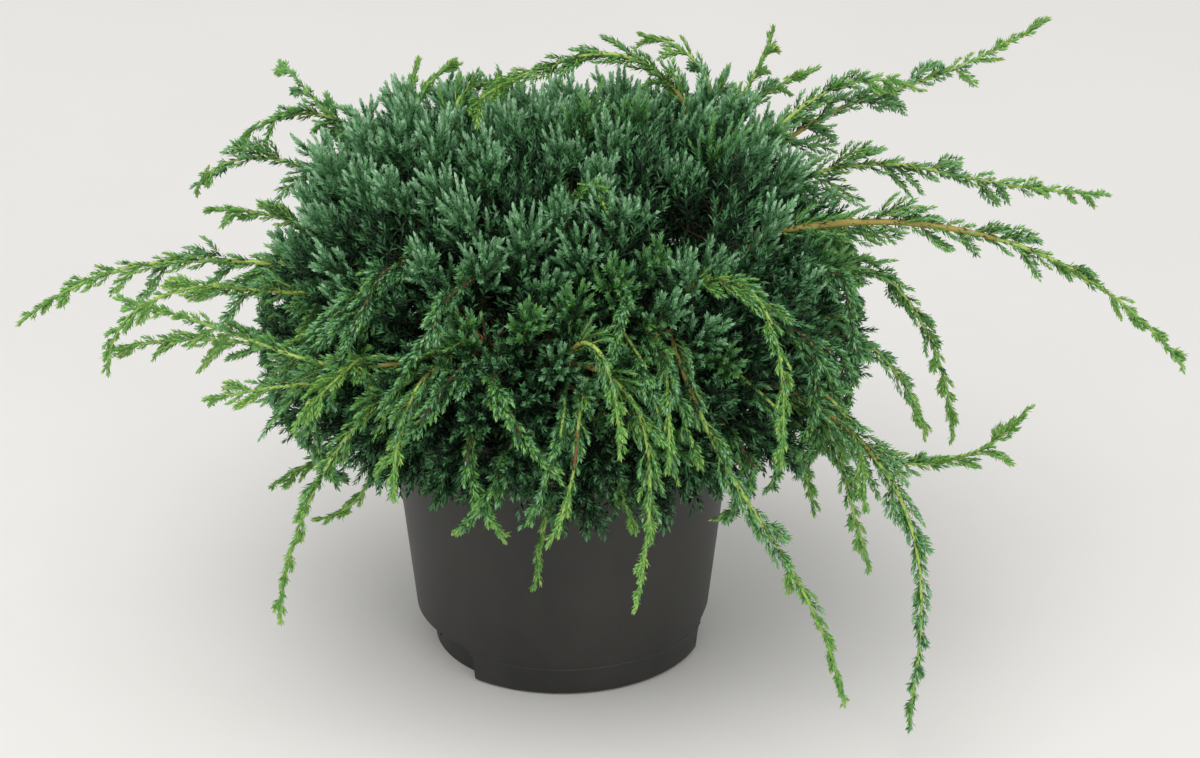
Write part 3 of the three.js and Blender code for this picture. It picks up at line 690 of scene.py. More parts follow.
POT_PLASTIC = PatchyFinish(
    "pot_plastic", colour=(0.0205, 0.0198, 0.0175), patch=(0.040, 0.0385, 0.034),
    patch_size=14.0, amount=0.75, roughness=0.46, patch_roughness=0.6,
    grain_size=1400.0, grain_depth=0.2 * MM, grain_strength=0.25, stretch=(1.0, 1.0, 0.45),
)
PEAT = PatchyFinish(
    "peat", colour=(0.020, 0.013, 0.008), patch=(0.060, 0.038, 0.022),
    patch_size=240.0, amount=0.8, roughness=0.95, patch_roughness=0.9,
    grain_size=900.0, grain_depth=0.8 * MM, grain_strength=0.9, specular=0.2,
)
BARK = PatchyFinish(
    "bark", colour=(0.20, 0.085, 0.035), patch=(0.36, 0.17, 0.07),
    patch_size=160.0, amount=0.85, roughness=0.85, patch_roughness=0.7,
    grain_size=600.0, grain_depth=0.6 * MM, grain_strength=0.7, specular=0.3,
)
FLOOR_PAINT = PatchyFinish(
    "floor_paint", colour=(0.80, 0.782, 0.748), patch=(0.83, 0.813, 0.782),
    patch_size=3.0, amount=0.6, roughness=0.62, patch_roughness=0.7,
    grain_size=120.0, grain_depth=0.4 * MM, grain_strength=0.15, specular=0.3,
)


class Tint(Enum):
    """The plain colours that are dealt out to needles and green stems."""

    SHADE = NeedleFinish("needles_shade", (0.006, 0.019, 0.010))
    DARK_GREEN = NeedleFinish("needles_dark_green", (0.032, 0.102, 0.034))
    BLUE_GREEN = NeedleFinish("needles_blue_green", (0.120, 0.318, 0.126))
    SEA_GREEN = NeedleFinish("needles_sea_green", (0.225, 0.470, 0.230))
    GLAUCOUS = NeedleFinish("needles_glaucous", (0.430, 0.680, 0.430), roughness=0.6)
    LEAF_GREEN = NeedleFinish("needles_leaf_green", (0.108, 0.305, 0.060))
    FRESH_GREEN = NeedleFinish("needles_fresh_green", (0.210, 0.450, 0.100))
    YELLOW_GREEN = NeedleFinish("needles_yellow_green", (0.400, 0.540, 0.120))
    STRAW = NeedleFinish("needles_straw", (0.300, 0.170, 0.060), roughness=0.7)
    RUSSET = NeedleFinish("young_bark_russet", (0.290, 0.110, 0.035), roughness=0.6)
    OCHRE = NeedleFinish("young_bark_ochre", (0.380, 0.285, 0.070), roughness=0.55)
    OLD_TWIG = NeedleFinish("old_twig", (0.100, 0.052, 0.028), roughness=0.8)


TINTS = list(Tint)
TINT_SLOT = {tint: slot for slot, tint in enumerate(TINTS)}


@cache
def tint_materials() -> list[Material]:
    """The tints' materials, made when they are first needed."""
    return [tint.value.material() for tint in TINTS]


class Coat(Enum):
    """How a shoot's needles are tinted: the main and the stray tint at its root, middle and tip."""

    # Painted shade: most coats run from a darker root to a paler tip, partly for the paler young growth at
    # the tips and partly as shade deeper in the shoot. INNER and DEEP are the darkest, painted shade for
    # shoots deep in the mound and in its shaded places.
    INNER = "SHADE SHADE, SHADE DARK_GREEN, DARK_GREEN BLUE_GREEN"
    DEEP = "SHADE SHADE, DARK_GREEN SHADE, BLUE_GREEN DARK_GREEN"
    BLUE = "DARK_GREEN BLUE_GREEN, BLUE_GREEN SEA_GREEN, SEA_GREEN GLAUCOUS"
    PALE = "BLUE_GREEN SEA_GREEN, SEA_GREEN BLUE_GREEN, GLAUCOUS SEA_GREEN"
    GREEN = "DARK_GREEN LEAF_GREEN, LEAF_GREEN BLUE_GREEN, SEA_GREEN FRESH_GREEN"
    TRAIL = "DARK_GREEN LEAF_GREEN, LEAF_GREEN BLUE_GREEN, FRESH_GREEN SEA_GREEN"
    COOL = "DARK_GREEN BLUE_GREEN, BLUE_GREEN LEAF_GREEN, SEA_GREEN FRESH_GREEN"
    FRESH = "LEAF_GREEN FRESH_GREEN, FRESH_GREEN LEAF_GREEN, FRESH_GREEN YELLOW_GREEN"
    DEAD = "OLD_TWIG STRAW, STRAW RUSSET, STRAW STRAW"

    def slots(self) -> list[list[int]]:
        """The material slots of its pairs of tints."""
        return [[TINT_SLOT[Tint[name]] for name in pair.split()] for pair in self.value.split(", ")]


COATS = list(Coat)
COAT_SLOTS = np.array([coat.slots() for coat in COATS])


# ---------------- leafy shoots


@dataclass(frozen=True)
class Leafing:
    """How a shoot carries its needles: their size, their spread in degrees and their number."""

    needle: float
    width: float
    spread_at_root: float
    spread_at_tip: float
    per_metre: float
    coat: Coat


TUFT = Leafing(0.0044, 0.00175, 42, 18, 1780, Coat.BLUE)
TUFT_PALE = Leafing(0.0043, 0.00180, 40, 16, 1820, Coat.PALE)
TUFT_GREEN = Leafing(0.0046, 0.00165, 45, 20, 1680, Coat.GREEN)
# Painted shade: the two darkest leafings, for shaded plumes, the inner shoots of plumes and the fill deep in
# the mound.
TUFT_PAINTED_SHADE = Leafing(0.0054, 0.00150, 52, 28, 1400, Coat.DEEP)
TUFT_INNER_PAINTED_SHADE = Leafing(0.0072, 0.00190, 62, 40, 700, Coat.INNER)
TUFT_DEAD = Leafing(0.0050, 0.00110, 60, 45, 700, Coat.DEAD)
TRAIL_SIDE = Leafing(0.0049, 0.00155, 40, 20, 1380, Coat.TRAIL)
TRAIL_COOL = Leafing(0.0049, 0.00155, 40, 20, 1380, Coat.COOL)
TRAIL_FRESH = Leafing(0.0045, 0.00150, 34, 15, 1480, Coat.FRESH)
TRAIL_STEM = Leafing(0.0054, 0.00150, 36, 26, 900, Coat.TRAIL)


@dataclass
class LeafyShoots:
    """Short shoots that wait for their needles: one row a shoot.

    Places along a shoot are shares of its length, and places on a needle are
    shares of its length or of half its width.
    """

    skin_radius: float = 0.5 * MM
    least_needles: int = 3
    first_needle: float = 0.6
    turn_between_shoots: float = 1.7
    turn_stray: float = 0.8
    spread_stray: float = 16
    bud_from: float = 0.93
    bud_spread: float = 0.45
    fullest_at: float = 0.45
    fullness_reach: float = 0.55
    fullness_loss: float = 0.28
    size_span: Span = (0.85, 0.3)
    belly_at: float = 0.4
    belly_lift: float = 0.6
    tip_lift: float = 0.07
    coat_steps: Pair = (0.36, 0.70)
    coat_strays: Pair = (0.2, 0.16)
    stray_share: float = 0.36
    stem_corners: tuple[float, float, float] = (0.0, 2.1, 4.2)
    stem_middle: float = 0.75
    stem_reach: float = 0.97
    seed: int = 11

    def __post_init__(self) -> None:
        """Starts with no shoot."""
        self.rows: dict[str, list[Array]] = {}
        self.random = np.random.default_rng(self.seed)

    def add(
        self, piece: str, roots: Array, headings: Array, bends: Array,
        lengths: Array | float, leafing: Leafing,
    ) -> None:
        """Adds a shoot, or one for each row of the arrays.

        Args:
            piece: The name of the piece that they belong to.
            roots: Where they start.
            headings: Their directions there.
            bends: How far they turn aside, as a share of their length.
            lengths: Their lengths.
            leafing: How they carry their needles.
        """
        roots = np.atleast_2d(roots)
        rows = np.empty((len(roots), 16))
        rows[:, 0:3], rows[:, 3:6], rows[:, 6:9], rows[:, 9] = roots, headings, bends, lengths
        rows[:, 10:12] = leafing.needle, leafing.width
        rows[:, 12:15] = leafing.spread_at_root, leafing.spread_at_tip, leafing.per_metre
        rows[:, 15] = COATS.index(leafing.coat)
        self.rows.setdefault(piece, []).append(rows)

    @staticmethod
    def columns(rows: Array) -> tuple[Array, ...]:
        """The root, heading, bend and length of some rows, then the leafing's values in their order."""
        return rows[:, 0:3], rows[:, 3:6], rows[:, 6:9], *rows[:, 9:].T

    def needles(self, piece: str) -> MeshParts:
        """The needles of a piece's shoots.

        Args:
            piece: The piece's name.

        Returns:
            Mesh parts with two faces, folded along the keel, for each needle.
        """
        rows = np.concatenate(self.rows[piece])
        *_, lengths, _, _, _, _, per_metre, _ = self.columns(rows)
        counts = np.maximum(np.round(lengths * per_metre).astype(int), self.least_needles)
        which = np.repeat(np.arange(len(rows)), counts)
        order = np.arange(counts.sum()) - np.repeat(np.cumsum(counts) - counts, counts)
        share = (order + self.first_needle) / counts[which]
        root, heading, bend, length, needle, width, wide, narrow, _, coat = self.columns(rows[which])
        stray = self.random.random((5, len(which)))
        along = share[:, None]
        place = point_on(root, heading, bend, length[:, None], along)
        tangent = unit(heading + 2 * bend * along)
        first, second = cross_directions(tangent)
        turn = order * GOLDEN_ANGLE + which * self.turn_between_shoots + sway(stray[0], self.turn_stray)
        outward = first * np.cos(turn)[:, None] + second * np.sin(turn)[:, None]
        spread = wide + (narrow - wide) * share + sway(stray[1], self.spread_stray)
        lean = np.radians(spread * np.where(share > self.bud_from, self.bud_spread, 1.0))[:, None]
        pointing = tangent * np.cos(lean) + outward * np.sin(lean)
        upper = tangent * np.sin(lean) - outward * np.cos(lean)
        across = np.cross(upper, pointing)
        fullness = 1 - self.fullness_loss * np.abs(share - self.fullest_at) / self.fullness_reach
        size = (needle * fullness * vary(self.size_span, stray[2]))[:, None]
        half = (width / 2 * vary(self.size_span, stray[3]))[:, None]
        base = place + outward * self.skin_radius
        belly = base + pointing * size * self.belly_at + upper * half * self.belly_lift
        tip = base + pointing * size + upper * size * self.tip_lift
        vertices = np.stack([base, belly + across * half, belly - across * half, tip], 1).reshape(-1, 3)
        faces = np.array([[0, 1, 3], [0, 3, 2]])
        triangles = (np.arange(len(which))[:, None, None] * 4 + faces[None]).reshape(-1, 3)
        step = (share + sway(stray[0], self.coat_strays[0]) > self.coat_steps[0]).astype(int)
        step += share + sway(stray[1], self.coat_strays[1]) > self.coat_steps[1]
        is_stray = (stray[4] < self.stray_share).astype(int)
        parts = MeshParts()
        parts.add(vertices, triangles, np.repeat(COAT_SLOTS[coat.astype(int), step, is_stray], 2))
        return parts

    def stems(self, piece: str, parts: MeshParts, radius: float, tint: Tint) -> None:
        """Adds a slim three-sided stem inside each of a piece's shoots.

        Args:
            piece: The piece's name.
            parts: The mesh parts that take the stems.
            radius: The stems' radius at the root.
            tint: Their colour.
        """
        rows = np.concatenate(self.rows[piece])
        root, heading, bend, lengths, *_ = self.columns(rows)
        length = lengths[:, None]
        first, second = cross_directions(heading)
        ring = [first * math.cos(turn) + second * math.sin(turn) for turn in self.stem_corners]
        middle = point_on(root, heading, bend, length, 0.5)
        tip = root + (heading + bend) * length * self.stem_reach
        corners = [root + radius * out for out in ring]
        corners += [middle + self.stem_middle * radius * out for out in ring]
        vertices = np.stack([*corners, tip], 1).reshape(-1, 3)
        faces = np.array([
            [0, 3, 1], [1, 3, 4], [1, 4, 2], [2, 4, 5], [2, 5, 0], [0, 5, 3], [3, 6, 4], [4, 6, 5], [5, 6, 3],
        ])
        triangles = (np.arange(len(rows))[:, None, None] * 7 + faces[None]).reshape(-1, 3)
        parts.add(vertices, triangles, TINT_SLOT[tint])


# ---------------- the wood


@dataclass
class Wood:
    """The short stem and the boughs, with their bark's relief."""

    soil_level: float = 165 * MM
    top: float = 240 * MM
    flare_radius: float = 14 * MM
    flare_power: float = 1.6
    neck: float = 178 * MM
    neck_radius: float = 9 * MM
    top_radius: float = 6.5 * MM
    sunk: float = 4 * MM
    over_top: float = 2 * MM
    stem_pitch: float = 1.5 * MM
    bough_root_radius: float = 3.4 * MM
    bough_tip_radius: float = 2.0 * MM
    bough_out: float = 0.6
    bough_up: float = 0.25
    collar_swell: float = 0.35
    collar_reach: float = 6 * MM
    fit_gap: float = 0.35 * MM
    ring_pitch: float = 2.0 * MM
    sides: int = 14
    phase_range: float = 6.28
    strips_round: int = 4
    strips_swing: float = 9
    strips_pitch: float = 17 * MM
    strips_phase_range: float = 6
    strips_from: float = 0.55
    strips_lift: float = 0.07

    FIBRES = ((2, 0.05, 0.05), (3, 0.021, 0.06), (5, 0.012, 0.05), (6, 0.006, 0.035))

    def trunk_radius(self, height: float) -> float:
        """The stem's radius at a height above its root flare."""
        return lerp(self.neck_radius, self.top_radius, (height - self.neck) / (self.top - self.neck))

    def stem_profile(self, height: float) -> float:
        """The stem's radius at any height, its root flare included."""
        if height >= self.neck:
            return self.trunk_radius(min(height, self.top))
        share = max(0.0, (self.neck - height) / (self.neck - self.soil_level))
        return lerp(self.neck_radius, self.flare_radius, share**self.flare_power)

    def bough_ends(self, name: str) -> tuple[Vector3, Vector3, Vector3]:
        """The start, the bend and the tip of a bough's curve.

        Args:
            name: The bough's name.

        Returns:
            Its three control points.
        """
        tip, leaves = BOUGHS[name]
        end, height = np.array(tip) * MM, leaves * MM
        outward = unit(end * LEVEL)
        bend = end * self.bough_out
        bend[2] = lerp(height, end[2], self.bough_up)
        start = outward * self.trunk_radius(height) + UP * height
        first = unit(bend - start)
        tilt = math.sqrt(1 - (first @ outward) ** 2)
        start = start + outward * (self.fit_gap + self.bough_root_radius * tilt)
        return start, bend, end

    def bough_point(self, name: str, share: float) -> Vector3:
        """The point at a share of the way along a bough's curve."""
        return on_curve(*self.bough_ends(name), share)

    def bough_tangent(self, name: str, share: float) -> Vector3:
        """The direction of a bough at a share of its curve."""
        start, bend, end = self.bough_ends(name)
        return unit((bend - start) * (1 - share) + (end - bend) * share)

    def bough_radius(self, share: float) -> float:
        """A bough's radius at a share of its length."""
        return lerp(self.bough_root_radius, self.bough_tip_radius, share)

    def flaking(self, lengths: Array, seed: int) -> Array:
        """The bark's relief over rings and sides, as a factor on the radius.

        Args:
            lengths: The distance of each ring along the limb.
            seed: The limb's own seed.

        Returns:
            One factor for each ring and side: long fibres, and strips that lift.
        """
        random = np.random.default_rng(seed)
        turn = np.arange(self.sides)[None] * (2 * math.pi / self.sides)
        along = lengths[:, None]
        relief = np.zeros((len(lengths), self.sides))
        for waves, pitch, depth in self.FIBRES:
            phase = random.random() * self.phase_range
            relief += depth * np.sin(waves * turn + phase + along / pitch * random.choice([-1.0, 1.0]))
        swing = np.sin(along / self.strips_pitch + random.random() * self.strips_phase_range)
        strips = np.sin(self.strips_round * turn + self.strips_swing * swing) > self.strips_from
        return 1 + relief + self.strips_lift * strips

    def add_stem(self, parts: MeshParts, seed: int) -> None:
        """Adds the stem, from just under the compost to its top.

        Args:
            parts: The mesh parts that take it.
            seed: The seed of its bark.
        """
        heights = np.arange(self.soil_level - self.sunk, self.top + self.over_top, self.stem_pitch)
        radii = np.array([self.stem_profile(height) for height in heights])
        points = np.column_stack([np.zeros(len(heights)), np.zeros(len(heights)), heights])
        parts.add(*tube(points, radii[:, None] * self.flaking(heights, seed), self.sides))

    def add_bough(self, parts: MeshParts, name: str, seed: int) -> None:
        """Adds a bough, from inside the stem to its tip.

        Args:
            parts: The mesh parts that take it.
            name: The bough's name.
            seed: The seed of its bark.
        """
        start = self.bough_ends(name)[0]
        inside = start - unit(start * LEVEL) * self.sunk
        rings = int(np.linalg.norm(self.bough_point(name, 1) - start) / self.ring_pitch)
        line = np.array([inside, *(self.bough_point(name, i / rings) for i in range(rings + 1))])
        lengths = np.arange(len(line)) * self.ring_pitch
        radii = self.bough_radius(np.clip(np.arange(-1, rings + 1) / rings, 0, 1))
        collar = 1 + self.collar_swell * np.exp(-lengths / self.collar_reach)
        parts.add(*tube(line, (radii * collar)[:, None] * self.flaking(lengths, seed), self.sides))

    def build(self) -> None:
        """Makes the bark-covered stem and boughs as one piece."""
        parts = MeshParts()
        self.add_stem(parts, 3)
        for number, name in enumerate(BOUGHS):
            self.add_bough(parts, name, number + 20)
        piece = parts.build("stem_and_boughs", [BARK.material()], smooth=True)
        dress(piece, "bark", ["trunk", *(f"bough_{name}" for name in BOUGHS)])


# ---------------- long shoots


@dataclass
class Runner:
    """One long shoot while its side growth is made."""

    piece: str
    line: Array
    length: float
    seed: int
    fresh_from: float
    bare: Span

    SHADED_BELOW = 150 * MM

    def __post_init__(self) -> None:
        """Works out its directions, the kind of its leafing and the source of its irregularities."""
        self.tangents, self.normals, self.across = frames_along(self.line)
        # Painted shade: a shoot that runs low, or gets no fresh tips for shade, takes the cool leafing; half
        # the others take it at random.
        cool = self.runs_low(self.line) or self.fresh_from > 1 or self.seed % 2
        self.leafing = TRAIL_COOL if cool else TRAIL_SIDE
        self.draw = np.random.default_rng(self.seed).random

    @classmethod
    def runs_low(cls, line: Array) -> bool:
        """Whether a shoot runs low, in the shade of the others."""
        return line[:, 2].mean() < cls.SHADED_BELOW

    def heading(self, station: int, roll: float, lean: float) -> Vector3:
        """The direction that leans off the shoot at a point of its line, rolled round it, in degrees."""
        aside = leaning(self.normals[station], self.across[station], roll)
        return leaning(self.tangents[station], aside, lean)

    def leafing_at(self, share: float, plain: Leafing | None = None) -> Leafing:
        """The leafing at a share of its length: fresh near the tip, and plain before that."""
        return TRAIL_FRESH if share > self.fresh_from else plain or self.leafing


@dataclass
class LongShoots:
    """The arching and hanging shoots, carried to side shoots and needles.

    Growth comes in four orders: side shoots by the plant's own rule, others
    between them, small shoots, and the needles of the stem itself.
    """

    wood: Wood
    shoots: LeafyShoots
    random: RandomStream
    stub: float = 6 * MM
    stub_root: float = 2 * MM
    steps: int = 40
    first_seed: int = 100
    seeds_a_set: int = 5
    tip_radius: float = 0.6 * MM
    stem_sides: int = 7
    stem_share: float = 0.95
    knobs: Pair = (0.06, 1.9)
    russet_to: tuple[float, float, int] = (0.05, 0.03, 3)
    golden_to: tuple[float, float, int] = (0.14, 0.09, 4)
    golden_gain: float = 0.38
    thick_radius: float = 2.2 * MM
    side_length: float = 34 * MM
    side_pitch: float = 31 * MM
    side_lean: float = 36
    side_stray: float = 70
    lean_stray: float = 0.2
    side_sizes: Span = (0.75, 0.5)
    side_fall: Pair = (1.15, 0.4)
    tapering: float = 0.62
    hanging_share: float = 0.5
    least_height: float = 12 * MM
    grows_from: float = 0.84
    places: Span = (0.3, 0.4)
    between_gain: float = 38 / 34
    between_sizes: Span = (0.7, 0.5)
    between_lean: float = 25
    between_leans: Span = (0.8, 0.5)
    finer: int = 8
    small_lengths: Pair = (24 * MM, 4.5 * MM)
    small_sizes: Span = (0.4, 0.85)
    small_roll_stray: float = 150
    small_leans: Span = (30, 16)
    small_bend: float = 0.35
    small_fresh_stray: Pair = (0.3, 0.4)
    leader: float = 22 * MM
    painted_shade_fresh_delay: float = 0.3
    drooping: float = 0.6
    steep: float = -0.6
    droop: float = 0.55
    slight_droop: float = 0.1
    side_bend: float = 0.3
    forks: int = 6
    fork_places: Pair = (0.16, 0.13)
    fork_lengths: Pair = (0.48, 0.24)
    fork_sizes: Span = (0.75, 0.45)
    fork_lean: float = 36
    needle_stem_radius: float = 0.7 * MM

    FRESH_FROM = {"left": 0.5, "front": 0.62, "right": 0.7, "back": 0.85, "top": 0.66}
    STEM_TINTS = (Tint.RUSSET, Tint.OCHRE, Tint.YELLOW_GREEN, Tint.RUSSET, Tint.YELLOW_GREEN)

    def root(self, item: ShootSet) -> tuple[Vector3, Vector3]:
        """Where a set leaves its bough, on the bough's surface, and the way it points.

        Args:
            item: The set.

        Returns:
            The point and the direction.
        """
        point = self.wood.bough_point(item.bough, item.at)
        along = self.wood.bough_tangent(item.bough, item.at)
        if item.at == 1:
            return point + along * self.wood.fit_gap, along
        aside = unit(np.cross(along, UP))
        outward = leaning(np.cross(aside, along), aside, item.side)
        return point + outward * (self.wood.bough_radius(item.at) + self.wood.fit_gap), outward

    def line(self, start: Vector3, shape: ShootShape) -> Array:
        """The points of one long shoot, from its stub to its tip.

        Args:
            start: Its first point.
            shape: Its headings, pitches and length.

        Returns:
            Evenly spaced points, one a row.
        """
        turn, pitch, length = shape
        shares = (np.arange(self.steps) + 0.5) / self.steps
        steps = np.array([direction(through(turn, share), through(pitch, share)) for share in shares])
        return np.vstack([start, start + np.cumsum(steps, 0) * (length * MM / self.steps)])

    def grow(self) -> dict[str, MeshParts]:
        """Grows every set.

        Returns:
            The stems' mesh parts for each side of the plant.
        """
        stems: dict[str, MeshParts] = {}
        for number, item in enumerate(LONG_SHOOTS):
            side = self.side_of(item.name)
            parts = stems.setdefault(side, MeshParts())
            contact, outward = self.root(item)
            start = contact + outward * self.stub
            for index, shape in enumerate(item.shoots):
                line = self.line(start, shape)
                woody = np.vstack([contact - outward * self.stub_root, line])
                bare = BARE_STRETCHES.get((item.name, index), NOWHERE)
                self.stem(parts, woody, item.radius * self.stem_share * MM, index + number, bare)
                # Painted shade: a shoot that runs low gets its fresh tips later.
                fresh = self.FRESH_FROM[side] + (self.painted_shade_fresh_delay if Runner.runs_low(line) else 0)
                seed = self.first_seed + number * self.seeds_a_set + index
                self.sides(Runner(f"long_{side}", line, shape[2] * MM, seed, fresh, bare))
        return stems

    @staticmethod
    def side_of(name: str) -> str:
        """The side of the plant that a set belongs to."""
        return next(side for side in SIDES_OF_PLANT if name.startswith(f"{side}_"))

    def stem(self, parts: MeshParts, line: Array, radius: float, seed: int, bare: Span) -> None:
        """Adds one stem, in stretches from old bark to green tip.

        Args:
            parts: The mesh parts that take it.
            line: Its points.
            radius: Its radius at the root.
            seed: Deals out where its colours change.
            bare: The shares of its length between which it has died back.
        """
        count = len(line)
        height, pitch = self.knobs
        radii = np.linspace(radius, self.tip_radius, count)
        radii = radii * (1 + height * np.sin(np.arange(count) * pitch + seed))
        (first, gain, kinds), (golden, golden_step, golden_kinds) = self.russet_to, self.golden_to
        thick = self.golden_gain if radius > self.thick_radius else 0
        changes = [0, int(count * (first + gain * (seed % kinds)))]
        changes += [int(count * (golden + golden_step * (seed % golden_kinds) + thick))]
        changes += [max(int(count * share), changes[2]) for share in bare] + [count - 1]
        for tint, begin, end in zip(self.STEM_TINTS, changes, changes[1:]):
            if end > begin:
                stretch = slice(begin, end + 1)
                parts.add(*tube(line[stretch], radii[stretch], self.stem_sides), TINT_SLOT[tint])

    def sides(self, runner: Runner) -> None:
        """Grows a long shoot's needles and its side shoots.

        Args:
            runner: The long shoot.
        """
        count = int((runner.length - self.side_length / 2) / self.side_pitch)
        self.rule_shoots(runner, count)
        self.between_shoots(runner, count)
        self.small_shoots(runner, count * self.finer)
        self.stem_needles(runner)

    def rule_shoots(self, runner: Runner, count: int) -> None:
        """Grows the side shoots of the plant's own rule, alternately to either side.

        Args:
            runner: The long shoot.
            count: How many.
        """
        largest, loss = self.side_fall
        for i in range(1, count + 1):
            station = round(i / (count + 1) * self.steps)
            roll = 90 + (i % 2) * 180 + sway(self.random.draw(), self.side_stray)
            lean = self.side_lean + sway(self.random.draw(), self.side_stray) * self.lean_stray
            size = self.side_length * vary(self.side_sizes, self.random.draw()) * (largest - loss * i / count)
            self.random.draw()
            heading = runner.heading(station, roll, lean)
            share = station / self.steps
            tip_height = runner.line[station][2] + heading[2] * size
            if tip_height > self.least_height and self.grows_at(runner.line[station], share, runner.bare):
                slim = size * (1 - self.tapering * share**2) * self.slimness(runner.tangents[station])
                self.side_shoot(runner, station, heading, slim, share)

    def between_shoots(self, runner: Runner, count: int) -> None:
        """Grows more side shoots between the others.

        Args:
            runner: The long shoot.
            count: The number of the others, which is one less than theirs.
        """
        first, wide = self.places
        for i in range(count + 1):
            share = (i + first + wide * runner.draw()) / (count + 1)
            station = min(int(share * self.steps), self.steps - 1)
            roll = 90 - (i % 2) * 180 + sway(runner.draw(), self.side_stray)
            lean = self.between_lean * vary(self.between_leans, runner.draw())
            heading = runner.heading(station, roll, lean)
            size = self.side_length * self.between_gain * vary(self.between_sizes, runner.draw())
            size *= (1 - self.tapering * share) * self.slimness(runner.tangents[station])
            clear = runner.line[station][2] - size > self.least_height
            if clear and self.grows_at(runner.line[station], share, runner.bare):
                self.side_shoot(runner, station, heading, size, share)

    def small_shoots(self, runner: Runner, count: int) -> None:
        """Grows the small shoots along the stem, shorter towards its tip.

        Args:
            runner: The long shoot.
            count: How many.
        """
        first, wide = self.places
        fresh_stray, fresh_middle = self.small_fresh_stray
        for i in range(count):
            share = i / count
            place = (i + first + wide * runner.draw()) / count * self.steps
            station = min(int(place), self.steps - 1)
            step = runner.line[station + 1] - runner.line[station]
            point = runner.line[station] + step * (place - station)
            roll = 90 + (i % 2) * 180 + sway(runner.draw(), self.small_roll_stray)
            heading = runner.heading(station, roll, vary(self.small_leans, runner.draw()))
            size = lerp(*self.small_lengths, share) * vary(self.small_sizes, runner.draw())
            if self.grows_at(point, share, runner.bare):
                leafing = runner.leafing_at(share + fresh_stray * (runner.draw() - fresh_middle))
                bend = (runner.tangents[station] - heading) * self.small_bend
                self.shoots.add(runner.piece, point, heading, bend, size, leafing)

    def stem_needles(self, runner: Runner) -> None:
        """Grows the needles on the stem itself and its leading tip.

        Args:
            runner: The long shoot.
        """
        for station in range(0, self.steps, 2):
            share = station / self.steps
            point, step = runner.line[station], runner.line[station + 2] - runner.line[station]
            if self.grows_at(point, share, runner.bare):
                leafing, size = runner.leafing_at(share, TRAIL_STEM), float(np.linalg.norm(step))
                self.shoots.add(runner.piece, point, unit(step), np.zeros(3), size, leafing)
        tip = unit(runner.line[-1] - runner.line[-2])
        root = runner.line[-1] - tip * self.leader
        self.shoots.add(runner.piece, root, tip, np.zeros(3), self.leader, TRAIL_FRESH)

    def side_shoot(self, runner: Runner, station: int, heading: Vector3, size: float, share: float) -> None:
        """Grows one side shoot with its own small shoots.

        Args:
            runner: The long shoot that it leaves.
            station: The number of the point on its line.
            heading: Its direction there.
            size: Its length.
            share: How far along the long shoot it stands.
        """
        root, along, draw = runner.line[station], runner.tangents[station], runner.draw
        leafing = runner.leafing_at(share)
        hangs = along[2] > self.steep and draw() < self.drooping
        bend = (along - heading) * self.side_bend - UP * (self.droop if hangs else self.slight_droop)
        self.shoots.add(runner.piece, root, heading, bend, size, leafing)
        turn = cross_directions(heading[None])[0][0]
        turn = leaning(turn, np.cross(heading, turn), 360 * draw())
        first, pitch = self.fork_places
        for j in range(self.forks):
            place = first + pitch * j
            point = point_on(root, heading, bend, size, place)
            forward = unit(heading + 2 * bend * place)
            small = leaning(forward, turn * (1 if j % 2 else -1), self.fork_lean)
            length = size * lerp(*self.fork_lengths, j / (self.forks - 1))
            length *= vary(self.fork_sizes, draw())
            self.shoots.add(runner.piece, point, small, (forward - small) * self.small_bend, length, leafing)

    def slimness(self, along: Vector3) -> float:
        """The share of their length that side shoots keep where the stem hangs down."""
        return lerp(1, self.hanging_share, min(max(-float(along[2]), 0), 1))

    def grows_at(self, point: Vector3, share: float, bare: Span) -> bool:
        """Whether a shoot has side growth: outside the mound's middle, and not where it is bare."""
        return float(Mound.reach_of(point, Mound.reach)) > self.grows_from and not bare[0] < share < bare[1]

    def build(self) -> None:
        """Makes the stems and needles of each side of the plant."""
        materials = tint_materials()
        for side, parts in self.grow().items():
            replaced = [f"long_shoots_{item.name}" for item in LONG_SHOOTS if self.side_of(item.name) == side]
            self.shoots.stems(f"long_{side}", parts, self.needle_stem_radius, Tint.YELLOW_GREEN)
            dress(parts.build(f"long_shoot_stems_{side}", materials, smooth=True), "shoot_foliage", replaced)
            needles = self.shoots.needles(f"long_{side}")
            dress(needles.build(f"long_shoot_needles_{side}", materials, smooth=False), "shoot_foliage", [])


# ---------------- the mound


@dataclass(frozen=True)
class Plume:
    """One plume of the mound: its axis, its side shoots, and the leafing of its outer and inner ones."""

    mass: str
    root: Vector3
    heading: Vector3
    length: float
    side_shoots: int
    shaded: bool
    outer: Leafing
    inner: Leafing


